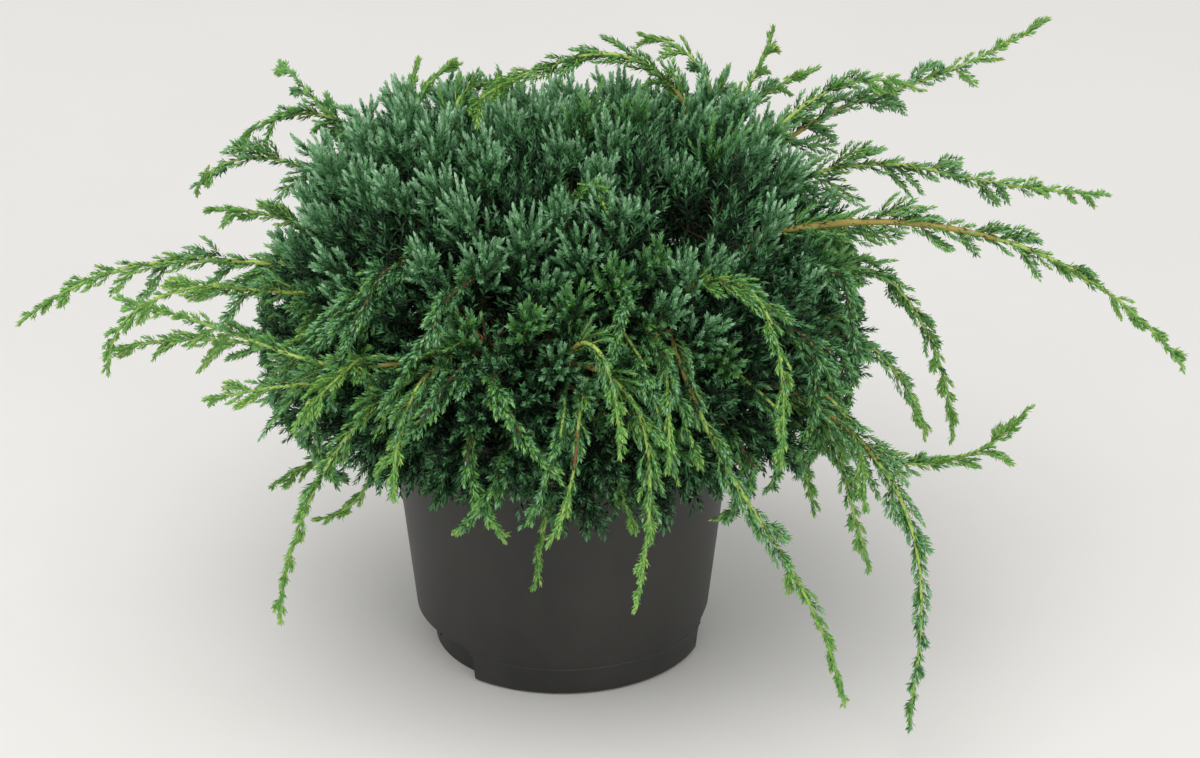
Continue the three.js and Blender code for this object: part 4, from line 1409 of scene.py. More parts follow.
@dataclass
class Mound:
    """The dense mound: plumes of short shoots on twigs that grow from the boughs."""

    wood: Wood
    shoots: LeafyShoots
    random: RandomStream
    trailing: LongShoots
    seed: int = 5
    plumes: int = 246
    outer_shoots: int = 13
    inner_shoots: int = 9
    sink: float = 14 * MM
    lowest: float = -0.16
    lift: Pair = (-0.35, 0.55)
    lift_ease: Pair = (0.1, 0.5)
    stray: float = 0.4
    plume_reach: Span = (0.95, 0.1)
    inner_turn: float = 2.0
    inner_drop: float = 0.06
    inner_at: float = 0.96
    inner_stray: float = 0.5
    inner_reach: float = 0.9
    clumps: int = 44
    clump_seed: int = 17
    clump_turn: float = 0.7
    clump_stray: float = 0.22
    clump_edge: float = 0.17
    # Painted shade: plumes near a gap between clumps may take the dark leafing, more often the nearer they
    # are.
    gap_shade: float = 0.3
    edge_length: float = 0.68
    free_turn: float = 0.55
    hollow_length: float = 0.5
    hollow_from: float = 0.5
    open_from: float = 0.72
    hollow_depth: float = 0.28
    # Heights below which plumes take the dark leafing as painted shade, on the left and on the right.
    painted_shade_below_left: float = 222 * MM
    painted_shade_below_right: float = 205 * MM
    pale_share: float = 0.16
    dome_pale: float = 0.78
    dome_spread: float = 0.3
    tone_pale: float = 0.5
    blue_share: float = 0.42
    blue_loss: float = 0.3
    dead_share: float = 0.012
    vigour: Span = (0.85, 0.35)
    longest_lead: float = 17 * MM
    lead_stray: float = 0.3
    upturn: Pair = (-0.05, 0.22)
    upturn_from: float = 200 * MM
    upturn_over: float = 120 * MM
    side_places: Pair = (0.15, 0.9)
    side_leans: Pair = (56, 36)
    side_lean_stray: float = 20
    side_lengths: Pair = (27 * MM, 15.5 * MM)
    side_sizes: Span = (0.75, 0.45)
    side_bend: float = 0.36
    side_bend_stray: float = 0.12
    outer_from: float = 0.35
    fork_least: float = 15 * MM
    fork_lean: float = 34
    fork_at: Pair = (0.42, 0.18)
    fork_bend: float = 0.4
    fork_length: float = 0.5
    twig_radii: Pair = (1.3, 0.45)
    twig_reach: float = 0.8
    twig_stray: float = 0.1
    twig_steps: int = 6
    twig_sides: int = 4
    fill: int = 2800
    fill_lowest: float = -0.3
    fill_turn: float = 1.0
    fill_at: Span = (0.7, 0.27)
    fill_clear: float = 200 * MM
    fill_stray: float = 1.8
    fill_bend: float = 0.4
    fill_length: float = 26 * MM
    drapes: int = 46
    drape_seed: int = 29
    drape_first_seed: int = 600
    drape_turn: float = 0.618
    drape_turn_stray: float = 0.08
    drape_tops: tuple[float, float, float] = (4, 50, 1.3)
    drape_falls: Pair = (22, 42)
    drape_lowest: float = -24
    drape_swing: float = 34
    drape_swing_power: float = 1.5
    drape_reach: tuple[tuple[float, ...], tuple[float, ...]] = ((0, 0.3, 1), (0.80, 1.02, 1.06))
    drape_radius: float = 1.1 * MM
    drape_sides: int = 5
    drape_fresh: Span = (0.55, 0.5)
    drape_shade: float = 0.35
    needle_stem_radius: float = 0.6 * MM

    KNOT_SHARES = (0.45, 0.6, 0.75, 0.9, 1.0)
    # A fresh-from share past the tip, so that drapes in painted shade get no fresh tips.
    NEVER_FRESH = 1.5

    centre = np.array([0.0, 0.0, 190.0]) * MM
    reach = np.array([185.0, 185.0, 168.0]) * MM
    core = np.array([156.0, 156.0, 141.0]) * MM

    def __post_init__(self) -> None:
        """Starts with no twig, and with the source of its irregularities."""
        self.twigs = {name: MeshParts() for name in MASSES}
        self.chance = np.random.default_rng(self.seed)

    @staticmethod
    def swell_of(outward: Array) -> Array:
        """The share of its plain reach that the mound has in each direction."""
        return 1 + sum(swell.at(outward) for swell in MOUND_SWELLS)

    @classmethod
    def reach_of(cls, points: Array, radii: Vector3) -> Array:
        """How far out points lie in the mound, or in its middle with smaller radii: 1 is the surface."""
        place = (points - cls.centre) / radii
        far = np.linalg.norm(place, axis=-1, keepdims=True)
        return far[..., 0] / cls.swell_of(place / far)

    def distance_out(self, origins: Array, along: Array, reach: Array | float) -> Array:
        """The distance along rays from inside the mound to where its reach is the given one.

        Args:
            origins: Where the rays start, one a row.
            along: Their directions.
            reach: The reach that each goes to.

        Returns:
            One distance for each ray.
        """
        near, far = np.zeros(len(origins)), np.full(len(origins), 2 * self.reach[0])
        for _ in range(HALVINGS):
            middle = (near + far) / 2
            inside = self.reach_of(origins + along * middle[:, None], self.reach) < reach
            near, far = np.where(inside, middle, near), np.where(inside, far, middle)
        return near

    @staticmethod
    def masses_of(points: Array) -> list[str]:
        """The names of the masses that points belong to."""
        places = MASSES.values()
        centres = np.array([direction(turn, 0) * out * MM + UP * height * MM for turn, out, height in places])
        nearest = np.linalg.norm(points[:, None] - centres[None], axis=-1).argmin(1)
        return [list(MASSES)[i] for i in nearest]

    @staticmethod
    def spiral(count: int, lowest: float, turn: float) -> Array:
        """Evenly spread directions from the mound's centre, from its top down.

        Args:
            count: How many.
            lowest: The height of the last, from the centre (0) to the top (1).
            turn: The heading of the first.

        Returns:
            Unit vectors, one a row.
        """
        order = np.arange(count)
        height = lerp(1, lowest, (order + 0.5) / count)
        level = np.sqrt(1 - height**2)
        heading = GOLDEN_ANGLE * order + turn
        return np.column_stack([level * np.cos(heading), level * np.sin(heading), height])

    def outward_of(self, points: Array) -> Array:
        """The directions out from the mound's centre to points on its middle."""
        return unit((points - self.centre) / self.core)

    def surface(self, outward: Array, share: Array | float) -> Array:
        """The points in some directions at a share of the middle's reach."""
        return self.centre + outward * self.core * (self.swell_of(outward) * share)[:, None]

    def rise(self, height: float) -> float:
        """How much plumes turn up at a height, eased in above the mound's lower edge."""
        below, over = self.lift_ease
        share = min(max((height + below) / over, 0), 1)
        return lerp(*self.lift, share * share * (3 - 2 * share))

    def plume_places(self) -> tuple[Array, ...]:
        """The mound's plumes, by the plant's own rule.

        Returns:
            The surface points, headings and lengths.
        """
        outward = self.spiral(self.plumes, self.lowest, 0)
        surface = self.surface(outward, 1.0)
        heading = unit(outward / self.core)
        reach = np.empty(self.plumes)
        for i, height in enumerate(outward[:, 2]):
            heading[i, 0] += sway(self.random.draw(), self.stray)
            heading[i, 1] += sway(self.random.draw(), self.stray)
            heading[i, 2] += self.rise(height)
            reach[i] = vary(self.plume_reach, self.random.draw())
            self.random.draw()
        heading = unit(heading)
        return surface, heading, self.distance_out(surface, heading, reach)

    def between_places(self) -> tuple[Array, ...]:
        """Smaller plumes between the others, a little further in.

        Returns:
            The surface points, headings and lengths.
        """
        outward = self.spiral(self.plumes, self.lowest - self.inner_drop, self.inner_turn)
        surface = self.surface(outward, self.inner_at)
        lifts = np.array([self.rise(height) for height in outward[:, 2]])
        strays = sway(self.chance.random((self.plumes, 3)), self.inner_stray)
        heading = unit(outward + UP * lifts[:, None] + strays)
        return surface, heading, self.distance_out(surface, heading, self.inner_reach)

    def clumps_at(self, points: Array) -> tuple[Array, Array]:
        """The clumps that plumes stand in: the ends of the boughs, with painted shade in the gaps between
        them.

        Args:
            points: Places on the mound, one a row.

        Returns:
            How far inside its clump each place is, from 0 at the gap to 1, and its clump's tone.
        """
        random = np.random.default_rng(self.clump_seed)
        middles = self.spiral(self.clumps, self.lowest, self.clump_turn)
        middles = middles + sway(random.random((self.clumps, 3)), self.clump_stray)
        tones = random.random(self.clumps)
        gaps = np.linalg.norm(self.outward_of(points)[:, None] - unit(middles)[None], axis=-1)
        nearest, second = np.sort(gaps, 1)[:, :2].T
        depth = (second - nearest) / (second + nearest)
        return np.clip(depth / self.clump_edge, 0, 1), tones[gaps.argmin(1)]

    def shade_at(self, points: Array, places: tuple[Shade, ...]) -> Array:
        """How far each point lies in one of some shaded places of the mound, from 0 to 1."""
        outward = self.outward_of(points)
        return np.max([place.at(outward) for place in places], 0)

    def grow(self) -> None:
        """Grows every plume, the shoots in painted shade behind them and the ones that hang over them."""
        outer, inner = self.plume_places(), self.between_places()
        self.grow_layer(outer, self.outer_shoots, deep=False)
        self.grow_layer(inner, self.inner_shoots, deep=True)
        self.fill_in()
        self.hang_drapes()

    def grow_layer(self, places: tuple[Array, ...], side_shoots: int, deep: bool) -> None:
        """Grows one layer of plumes, shorter at the edges of the clumps and open in the hollows.

        Args:
            places: Its surface points, headings and lengths.
            side_shoots: The number of side shoots on each plume.
            deep: Whether the whole layer lies in the shade.
        """
        draw = self.chance.random
        surfaces, headings, lengths = places
        depths, tones = self.clumps_at(surfaces)
        hollows = self.shade_at(surfaces, HOLLOWS)
        lengths = lengths * lerp(self.edge_length, 1, depths)
        lengths = lengths * np.where(hollows > self.hollow_from, self.hollow_length, 1)
        headings = unit(headings + sway(draw(headings.shape), self.free_turn))
        shades = np.maximum(hollows, self.shade_at(surfaces, PAINTED_SHADE_SIDES))
        for i, mass in enumerate(self.masses_of(surfaces)):
            if hollows[i] > self.open_from:
                continue
            root, length = surfaces[i] - headings[i] * self.sink, lengths[i] + self.sink
            # Painted shade: plumes near the clumps' gaps, in the hollows and on the low sides are shaded,
            # which darkens their needles and leaves them without forks.
            shaded = deep or depths[i] < self.gap_shade * draw() or draw() < shades[i]
            leafings = self.leafings_at(root, shaded, tones[i])
            plume = Plume(mass, root, headings[i], length, side_shoots, shaded, *leafings)
            self.grow_plume(plume)
            self.add_twig(plume)

    def leafings_at(self, root: Vector3, shaded: bool, tone: float) -> tuple[Leafing, Leafing]:
        """Deals out the leafing of a plume's shoots.

        Args:
            root: Where the plume starts.
            shaded: Whether it stands in the shade of others.
            tone: Its clump's tone, from green (0) to pale (1).

        Returns:
            The outer and the inner leafing.
        """
        outward = self.outward_of(root)
        # Painted shade: shaded plumes and those low on the mound get the darkest leafings.
        if shaded or root[2] < (self.painted_shade_below_right if outward[0] > 0 else self.painted_shade_below_left):
            return TUFT_PAINTED_SHADE, TUFT_INNER_PAINTED_SHADE
        dome = math.exp((outward @ np.array(LEFT_DOME.towards) - 1) / self.dome_spread)
        pale = self.pale_share + self.dome_pale * dome + sway(tone, self.tone_pale)
        blue = self.blue_share - self.blue_loss * max(float(outward[0]), 0)
        deal = self.chance.random()
        # Painted shade: unless the plume is pale, its inner shoots near the root take the dark leafing, now
        # and then dead needles instead.
        inner = TUFT_DEAD if self.chance.random() < self.dead_share else TUFT_PAINTED_SHADE
        if deal < pale:
            return TUFT_PALE, TUFT
        return (TUFT if deal < pale + blue else TUFT_GREEN), inner

    def grow_plume(self, plume: Plume) -> None:
        """Grows one plume: a leading shoot with side shoots that turn up along it.

        Args:
            plume: The plume.
        """
        draw = self.chance.random
        piece, root, heading, length = f"mound_{plume.mass}", plume.root, plume.heading, plume.length
        vigour = vary(self.vigour, draw())
        lead = min(self.longest_lead, length * 0.5)
        top = root + heading * (length - lead)
        first, second = cross_directions(heading[None])
        begin = draw() * 2 * math.pi
        height = min(max((root[2] - self.upturn_from) / self.upturn_over, 0), 1)
        upward = UP * lerp(*self.upturn, height)
        lead_bend = sway(draw(3), self.lead_stray) + upward
        self.shoots.add(piece, top, heading, lead_bend, lead, plume.outer)
        for j in range(plume.side_shoots):
            share = lerp(*self.side_places, (j + 0.5) / plume.side_shoots)
            turn = begin + j * GOLDEN_ANGLE
            outward = first[0] * math.cos(turn) + second[0] * math.sin(turn)
            lean = lerp(*self.side_leans, share) + sway(draw(), self.side_lean_stray)
            side = leaning(heading, outward, lean)
            size = lerp(*self.side_lengths, share) * vary(self.side_sizes, draw()) * vigour
            start = root + heading * length * share
            strays = sway(draw(3), self.side_bend_stray)
            bend = (heading - side) * self.side_bend + strays + upward
            leafing = plume.outer if share > self.outer_from else plume.inner
            self.shoots.add(piece, start, side, bend, size, leafing)
            if size > self.fork_least and not plume.shaded:
                aside = unit(np.cross(side, outward)) * self.chance.choice([-1, 1])
                fork = leaning(side, aside, self.fork_lean)
                point = start + (side * self.fork_at[0] + bend * self.fork_at[1]) * size
                turned = (side - fork) * self.fork_bend + upward
                self.shoots.add(piece, point, fork, turned, size * self.fork_length, leafing)

    def add_twig(self, plume: Plume) -> None:
        """Adds a plume's twig, from the nearest bough to near the plume's tip.

        Args:
            plume: The plume.
        """
        root, heading = plume.root, plume.heading
        knots = np.array([self.wood.bough_point(name, at) for name in BOUGHS for at in self.KNOT_SHARES])
        gaps = np.linalg.norm(knots - root, axis=1)
        start, gap = knots[gaps.argmin()], gaps.min()
        strays = sway(self.chance.random(3), self.twig_stray) * gap
        middle = (start + root) / 2 + strays - heading * self.twig_stray * gap
        inner = on_curve(start, middle, root, np.linspace(0, 1, self.twig_steps)[:, None])
        line = np.vstack([inner, root + heading * plume.length * self.twig_reach])
        radii = np.linspace(*self.twig_radii, len(line)) * MM
        self.twigs[plume.mass].add(*tube(line, radii, self.twig_sides), TINT_SLOT[Tint.OLD_TWIG])

    def fill_in(self) -> None:
        """Grows the shoots deep in the mound, tinted as painted shade and sunk further in at its hollows."""
        draw = self.chance.random
        outward = self.spiral(self.fill, self.fill_lowest, self.fill_turn)
        sunk = 1 - self.hollow_depth * self.shade_at(self.surface(outward, 1.0), HOLLOWS)
        points = self.surface(outward, vary(self.fill_at, draw(self.fill)) * sunk)
        points = points[np.hypot(points[:, 0], points[:, 1]) + points[:, 2] > self.fill_clear]
        headings = unit(unit(points - self.centre) + sway(draw(points.shape), self.fill_stray))
        bends = sway(draw(points.shape), self.fill_bend)
        masses = np.array(self.masses_of(points))
        for name in MASSES:
            own = masses == name
            roots, length = points[own], self.fill_length
            self.shoots.add(f"mound_{name}", roots, headings[own], bends[own], length, TUFT_INNER_PAINTED_SHADE)

    def hang_drapes(self) -> None:
        """Grows the slender shoots that hang down over the mound."""
        draw = np.random.default_rng(self.drape_seed).random
        lowest_top, highest_top, power = self.drape_tops
        shares = np.linspace(0, 1, self.trailing.steps + 1)
        for number in range(self.drapes):
            heading = -90 + 360 * (number * self.drape_turn + self.drape_turn_stray * draw()) % 360
            above = lerp(lowest_top, highest_top, draw() ** power)
            below = max(above - lerp(*self.drape_falls, draw()), self.drape_lowest)
            headings = heading + sway(draw(), self.drape_swing) * shares**self.drape_swing_power
            pitches = lerp(above, below, shares)
            outward = np.array([direction(turned, pitch) for turned, pitch in zip(headings, pitches)])
            reach = np.interp(shares, *self.drape_reach) * self.swell_of(outward)
            line = self.centre + outward * self.reach * reach[:, None]
            length = float(np.linalg.norm(np.diff(line, axis=0), axis=1).sum())
            mass = self.masses_of(line[:1])[0]
            radii = np.linspace(self.drape_radius, self.trailing.tip_radius, len(line))
            tint = Tint.OLD_TWIG if number % 3 else Tint.YELLOW_GREEN
            self.twigs[mass].add(*tube(line, radii, self.drape_sides), TINT_SLOT[tint])
            fresh = vary(self.drape_fresh, draw())
            # Painted shade: a drape that hangs on the low sides gets no fresh tips, and with that the cool
            # leafing.
            if self.shade_at(line[len(line) // 2:][:1], PAINTED_SHADE_SIDES)[0] > self.drape_shade:
                fresh = self.NEVER_FRESH
            seed = self.drape_first_seed + number
            self.trailing.sides(Runner(f"mound_{mass}", line, length, seed, fresh, NOWHERE))

    def build(self) -> None:
        """Makes the twigs and needles of each mass."""
        self.grow()
        materials = tint_materials()
        for name, parts in self.twigs.items():
            self.shoots.stems(f"mound_{name}", parts, self.needle_stem_radius, Tint.DARK_GREEN)
            twigs = parts.build(f"mound_twigs_{name}", materials, smooth=True)
            dress(twigs, "mound_foliage", [f"foliage_{name}"])
            needles = self.shoots.needles(f"mound_{name}")
            dress(needles.build(f"mound_needles_{name}", materials, smooth=False), "mound_foliage", [])


# ---------------- pot and soil


@dataclass
class NurseryPot:
    """The round moulded pot with its collar, lip, parting line and foot openings."""

    height: float = 180 * MM
    base_radius: float = 88 * MM
    taper: float = 0.116
    wall: float = 1.8 * MM
    floor: float = 3 * MM
    floor_round: float = 2 * MM
    collar: float = 152 * MM
    collar_step: float = 1.5 * MM
    lip_bottom: float = 176 * MM
    lip_radius: float = 113 * MM
    lip_round: float = 0.8 * MM
    lip_inset: float = 0.6 * MM
    foot_edge: float = 2.5 * MM
    foot_round: float = 0.8 * MM
    parting_line: float = 18 * MM
    parting_bead: float = 0.35 * MM
    recess_radius: float = 79 * MM
    recess_height: float = 22 * MM
    recess_width: float = 73.0
    recess_corner: float = 7.0
    recess_round: float = 10 * MM
    recess_headings: Pair = (196.0, 16.0)
    side_drain_radius: float = 5.5 * MM
    side_drain_height: float = 11 * MM
    floor_drain_radius: float = 5 * MM
    floor_drain_ring: float = 58 * MM
    floor_drains: int = 5
    drain_sides: int = 24
    columns: int = 240
    sharp_from: float = 35

    EDGE_COLUMNS = (-1.6, -0.9, -0.3, 0.3, 0.9, 1.6)
    FOOT_LEVELS = (6, 10, 14, 17.5)
    WALL_LEVELS = (21.4, 22.6, 30, *range(40, 150, 10))
    COLLAR_LEVELS = (160, 168, 175.4)
    INSIDE_COLLAR_LEVELS = (168, 153)
    INSIDE_LEVELS = (151, 100, 60, 30, 25, 23.9, 12, 5)

    def wall_radius(self, height: float) -> float:
        """The outside radius of the plain wall at a height."""
        return self.base_radius + self.taper * height

    def wall_at(self, levels: tuple[float, ...], further: float = 0) -> list[Span]:
        """The radii and heights of points that far out of the wall, at levels in millimetres."""
        return [(self.wall_radius(level * MM) + further, level * MM) for level in levels]

    def outside(self) -> list[Span]:
        """The outer section, from the middle of the underside to the top of the lip."""
        wall = self.wall_radius
        line, step, bead = self.parting_line, self.collar, self.parting_bead
        under = [(0.0, 0.0), (self.recess_radius - 12 * MM, 0.0), (self.recess_radius - 1 * MM, 0.0)]
        foot = [
            (self.base_radius - self.foot_edge, 0.0),
            (self.base_radius - self.foot_round, 0.7 * MM),
            (wall(self.foot_edge), self.foot_edge),
            *self.wall_at(self.FOOT_LEVELS),
        ]
        parting = [
            (wall(line) + bead, line),
            (wall(line) + bead, line + 0.5 * MM),
            (wall(line), line + 1 * MM),
        ]
        collar = [
            (wall(step - 0.7 * MM), step - 0.7 * MM),
            (wall(step) + self.collar_step * 0.6, step - 0.1 * MM),
            (wall(step) + self.collar_step, step + 0.8 * MM),
            *self.wall_at(self.COLLAR_LEVELS, self.collar_step),
        ]
        lip = [
            (self.lip_radius - 0.5 * MM, self.lip_bottom),
            (self.lip_radius, self.lip_bottom + self.lip_round),
            (self.lip_radius, self.height - self.lip_round),
            (self.lip_radius - self.lip_inset, self.height),
        ]
        return under + foot + parting + self.wall_at(self.WALL_LEVELS) + collar + lip

    def inside(self) -> list[Span]:
        """The inner section, from the top of the lip to the middle of the floor."""
        brim = self.wall_radius(self.height) + self.collar_step - self.wall
        return [
            (brim + self.lip_inset, self.height),
            (brim, self.height - self.lip_round),
            *self.wall_at(self.INSIDE_COLLAR_LEVELS, self.collar_step - self.wall),
            *self.wall_at(self.INSIDE_LEVELS, -self.wall),
            (self.wall_radius(self.floor) - self.wall - self.floor_round, self.floor),
            (self.recess_radius - 12 * MM, self.floor),
            (0.0, self.floor),
        ]

    def turns(self) -> Array:
        """The headings of the pot's columns, closer together at the edges of its openings."""
        turns = list(np.arange(self.columns) * 360 / self.columns)
        for heading in self.recess_headings:
            for edge in (-self.recess_width / 2, self.recess_width / 2):
                turns += [(heading + edge + near) % 360 for near in self.EDGE_COLUMNS]
        return np.unique(np.round(turns, 4))

    def opening_depth(self, turn: float, height: float) -> float:
        """How fully a foot opening is cut, with the round upper corners of its outline.

        Args:
            turn: The heading in degrees.
            height: The height.

        Returns:
            A share from 0 on the plain wall to 1 in the opening.
        """
        depth = 0.0
        for heading in self.recess_headings:
            off = abs((turn - heading + 180) % 360 - 180)
            into = self.recess_width / 2 - off
            top = self.recess_height
            if into < self.recess_corner:
                short = self.recess_corner - max(into, 0)
                rise = math.sqrt(max(self.recess_corner**2 - short**2, 0))
                top -= (self.recess_corner - rise) / self.recess_corner * self.recess_round
            if height < top:
                depth = max(depth, min(max(into, 0), 1))
        return depth

    def ring(self, radius: float, height: float, outer: bool, turns: Array) -> list[Point]:
        """One ring of the pot's surface, drawn in at its foot openings.

        Args:
            radius: Its plain radius.
            height: Its height.
            outer: Whether it is on the outside.
            turns: The headings of its points.

        Returns:
            Its points.
        """
        inner = self.recess_radius - (0 if outer else self.wall)
        limit = height + (0 if outer else -self.wall)
        points = []
        for turn in turns:
            out = lerp(radius, min(radius, inner), self.opening_depth(turn, limit))
            points.append((out * math.cos(math.radians(turn)), out * math.sin(math.radians(turn)), height))
        return points

    def build(self) -> None:
        """Makes the pot."""
        turns = self.turns()
        grid = np.array([
            *(self.ring(*point, True, turns) for point in self.outside()[1:]),
            *(self.ring(*point, False, turns) for point in self.inside()[:-1]),
        ])
        levels, columns = grid.shape[:2]
        body = grid.reshape(-1, 3)
        vertices = np.vstack([body, [0, 0, 0], [0, 0, self.floor]])
        last = (levels - 1) * columns
        walls = band(levels - 1, columns, flipped=True)
        under = fan(len(body), columns, flipped=True)
        floor = fan(len(body) + 1, columns, last)
        parts = MeshParts()
        parts.add(vertices, np.vstack([walls, under, floor]))
        pot = parts.build("nursery_pot", [POT_PLASTIC.material()], smooth=True)
        self.cut_drains(pot)
        pot.data.set_sharp_from_angle(angle=math.radians(self.sharp_from))
        dress(pot, "pot_plastic", ["pot"])

    def cut_drains(self, pot: Object) -> None:
        """Cuts the round drain holes through the floor and the foot openings' walls.

        Args:
            pot: The pot's object, changed in place.
        """
        cutters = MeshParts()
        for i in range(self.floor_drains):
            spot = direction(i * 360 / self.floor_drains, 0) * self.floor_drain_ring
            line = np.array([spot - UP * 4 * MM, spot + UP * 6 * MM])
            cutters.add(*tube(line, np.full(2, self.floor_drain_radius), self.drain_sides))
        for heading in self.recess_headings:
            out = direction(heading, 0)
            spot = out * self.recess_radius + UP * self.side_drain_height
            line = np.array([spot - out * 5 * MM, spot + out * 4 * MM])
            cutters.add(*tube(line, np.full(2, self.side_drain_radius), self.drain_sides))
        tool = cutters.build("drain_cutter", list(pot.data.materials), smooth=False)
        cut = pot.modifiers.new("drains", "BOOLEAN")
        cut.operation, cut.solver, cut.object = "DIFFERENCE", "MANIFOLD", tool
        shaped = bpy.data.meshes.new_from_object(pot.evaluated_get(bpy.context.evaluated_depsgraph_get()))
        pot.modifiers.clear()
        pot.data = shaped
        bpy.data.objects.remove(tool)


@dataclass
class PottingSoil:
    """The peaty compost, slightly domed, with crumbs and bits of bark on it."""

    level: float = 165 * MM
    edge_drop: float = 3 * MM
    radius: float = 105 * MM
    depth: float = 14 * MM
    lump_height: float = 1.1
    grit_height: float = 0.5
    skirt_share: float = 0.985
    rings: int = 34
    columns: int = 96
    seed: int = 8
    crumbs: int = 420
    crumbs_within: float = 0.93
    crumb_lengths: Span = (1.2, 3.2)
    crumb_radii: Span = (0.5, 0.9)
    crumb_sides: int = 5

    CRUMB_SHAPE = (0.5, 1, 0.9, 0.4)
    LUMP_WAVES = (310, 190, 270, 230)
    GRIT_WAVES = (910, 640, 870, 520)

    def surface(self, across: Array, along: Array) -> Array:
        """The height of the compost at places in the pot: domed, lumpy and gritty."""
        out = np.hypot(across, along) / self.radius
        a, b, c, d = self.LUMP_WAVES
        lumps = np.sin(across * a + np.sin(along * b) * 2) * np.sin(along * c + np.sin(across * d) * 2)
        a, b, c, d = self.GRIT_WAVES
        grit = np.sin(across * a + along * b) * np.sin(along * c - across * d)
        relief = (lumps * self.lump_height + grit * self.grit_height) * MM * (1 - out**8)
        return self.level - self.edge_drop * out**2 + relief

    def add_crumb(self, parts: MeshParts, random: Random) -> None:
        """Adds one crumb that lies on the compost.

        Args:
            parts: The mesh parts that take it.
            random: The source of its place and size.
        """
        spread = self.radius * self.crumbs_within * math.sqrt(random.random())
        heading = random.random() * 2 * math.pi
        x, y = spread * math.cos(heading), spread * math.sin(heading)
        centre = np.array([x, y, float(self.surface(np.array(x), np.array(y)))])
        aim = unit(random.random(3) - 0.5)
        long = vary(self.crumb_lengths, random.random()) * MM
        thick = vary(self.crumb_radii, random.random()) * MM
        line = centre + aim * np.linspace(-long, long, len(self.CRUMB_SHAPE))[:, None] * 0.5
        parts.add(*tube(line, np.array(self.CRUMB_SHAPE) * thick, self.crumb_sides))

    def build(self) -> None:
        """Makes the compost."""
        random = np.random.default_rng(self.seed)
        out = np.linspace(0, 1, self.rings + 1)[1:] * self.radius
        turn = np.arange(self.columns) * 2 * math.pi / self.columns
        across = out[:, None] * np.cos(turn)[None]
        along = out[:, None] * np.sin(turn)[None]
        top = np.stack([across, along, self.surface(across, along)], -1).reshape(-1, 3)
        skirt = top[-self.columns:].copy()
        skirt[:, 2] = self.level - self.depth
        skirt[:, :2] *= self.skirt_share
        vertices = np.vstack([top, skirt, [0, 0, self.level], [0, 0, self.level - self.depth]])
        walls = band(self.rings, self.columns)
        middle = fan(len(vertices) - 2, self.columns)
        under = fan(len(vertices) - 1, self.columns, self.rings * self.columns, flipped=True)
        parts = MeshParts()
        parts.add(vertices, np.vstack([walls, middle, under]))
        for _ in range(self.crumbs):
            self.add_crumb(parts, random)
        piece = parts.build("potting_compost", [PEAT.material()], smooth=True)
        dress(piece, "soil", ["potting_soil"])


# ---------------- the studio


@dataclass(frozen=True)
class SoftLight:
    """A square soft light that faces the plant: its place, its side's length and its power in watts."""

    name: str
    place: Point
    size: float
    power: float
    aims_at: Point = (0.0, 0.0, 0.2)

    def hang(self) -> None:
        """Makes the light and turns it to the plant."""
        panel = bpy.data.lights.new(self.name, "AREA")
        panel.shape, panel.size, panel.energy = "SQUARE", self.size, self.power
        lamp = bpy.data.objects.new(self.name, panel)
        lamp.location = self.place
        aim = np.array(self.aims_at) - np.array(self.place)
        level = math.hypot(aim[0], aim[1])
        lamp.rotation_euler = (math.atan2(level, -aim[2]), 0, math.atan2(-aim[0], aim[1]))
        bpy.context.scene.collection.objects.link(lamp)


OVERHEAD_SOFTBOX = SoftLight("overhead_softbox", (-0.5, -0.9, 2.6), 2.4, 42.0)
FRONT_FILL = SoftLight("front_fill", (1.6, -2.6, 1.7), 1.8, 12.0)


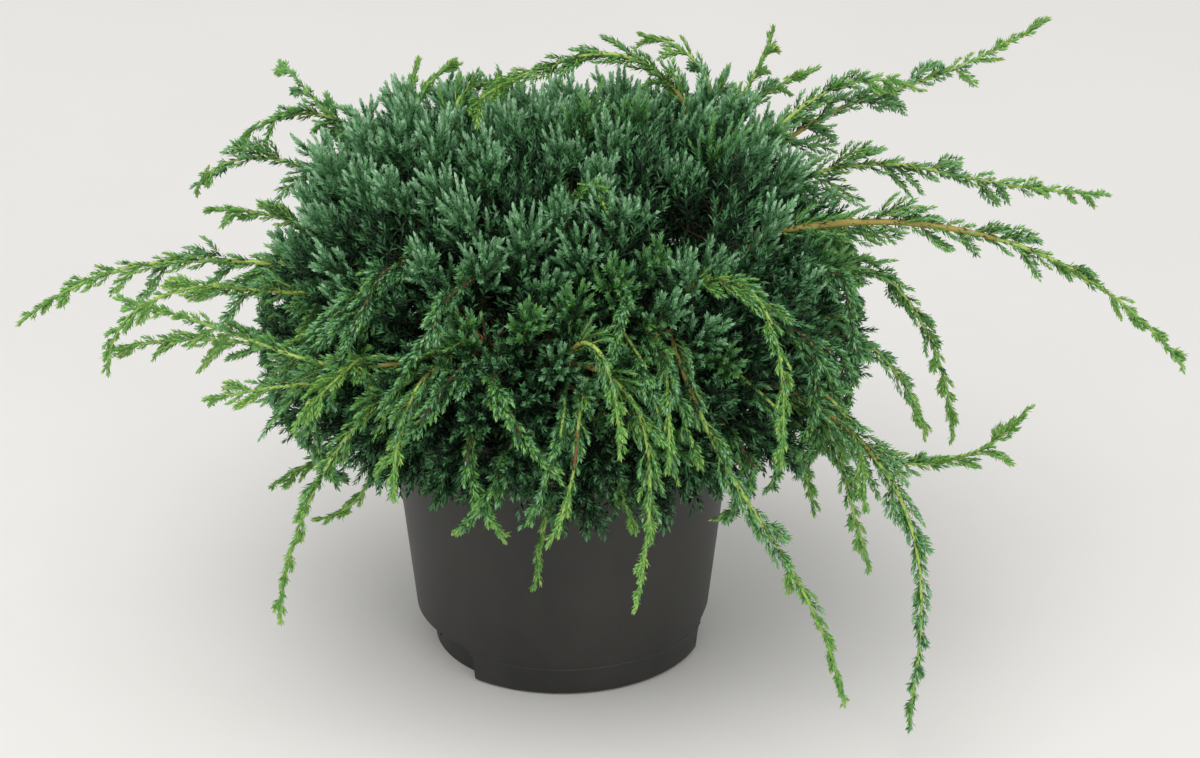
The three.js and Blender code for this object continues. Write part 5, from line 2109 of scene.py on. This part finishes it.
@dataclass
class Studio:
    """A plain pale floor, soft light from above, and the camera."""

    camera_place: Point = (0.0232, -3.4669, 1.9160)
    look_down: float = 26.7
    lens: float = 190.0
    sensor: float = 36.0
    sees_to: float = 50.0
    floor_size: float = 12.0
    floor_gap: float = 0.5 * MM
    sky: Colour = (0.86, 0.865, 0.875)
    sky_strength: float = 0.8

    def build(self) -> None:
        """Makes the floor, the lights, the air and the camera."""
        self.lay_floor()
        OVERHEAD_SOFTBOX.hang()
        FRONT_FILL.hang()
        world = bpy.data.worlds.new("studio_air")
        world.use_nodes = True
        air = world.node_tree.nodes["Background"]
        air.inputs["Color"].default_value = (*self.sky, 1)
        air.inputs["Strength"].default_value = self.sky_strength
        bpy.context.scene.world = world
        self.place_camera()
        bpy.context.scene.view_settings.view_transform = "Standard"
        log.info("studio ready")

    def lay_floor(self) -> None:
        """Lays the floor just under the pot."""
        half = self.floor_size / 2
        corners = np.array([[-half, -half, 0], [half, -half, 0], [half, half, 0], [-half, half, 0]])
        parts = MeshParts()
        parts.add(corners, np.array([[0, 1, 2], [0, 2, 3]]))
        floor = parts.build("pale_floor", [FLOOR_PAINT.material()], smooth=False)
        floor.location.z = -self.floor_gap

    def place_camera(self) -> None:
        """Places the camera, level from side to side and tilted down."""
        lens = bpy.data.cameras.new("camera")
        lens.lens, lens.sensor_width = self.lens, self.sensor
        lens.clip_end = self.sees_to
        camera = bpy.data.objects.new("camera", lens)
        camera.location = self.camera_place
        camera.rotation_euler = (math.radians(90 - self.look_down), 0, 0)
        bpy.context.scene.collection.objects.link(camera)
        bpy.context.scene.camera = camera


def write_sizes() -> None:
    """Brings the scene's transforms up to date."""
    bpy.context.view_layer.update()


def main() -> None:
    """Builds the plant, its pot and the studio."""
    logging.basicConfig(level=logging.INFO, format="%(name)s: %(message)s")
    random = RandomStream(7)
    shoots = LeafyShoots()
    wood = Wood()
    Studio().build()
    NurseryPot().build()
    PottingSoil().build()
    wood.build()
    LongShoots(wood, shoots, random).build()
    trailing = LongShoots(
        wood, shoots, RandomStream(21), side_length=22 * MM, side_pitch=19 * MM, finer=5,
        small_lengths=(17 * MM, 6 * MM),
    )
    Mound(wood, shoots, random, trailing).build()
    write_sizes()
    pieces = [piece for piece in bpy.data.objects if piece.type == "MESH" and "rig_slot" in piece]
    log.info("all %d pieces: %d triangles", len(pieces), sum(len(piece.data.polygons) for piece in pieces))


if __name__ == "__main__":
    main()
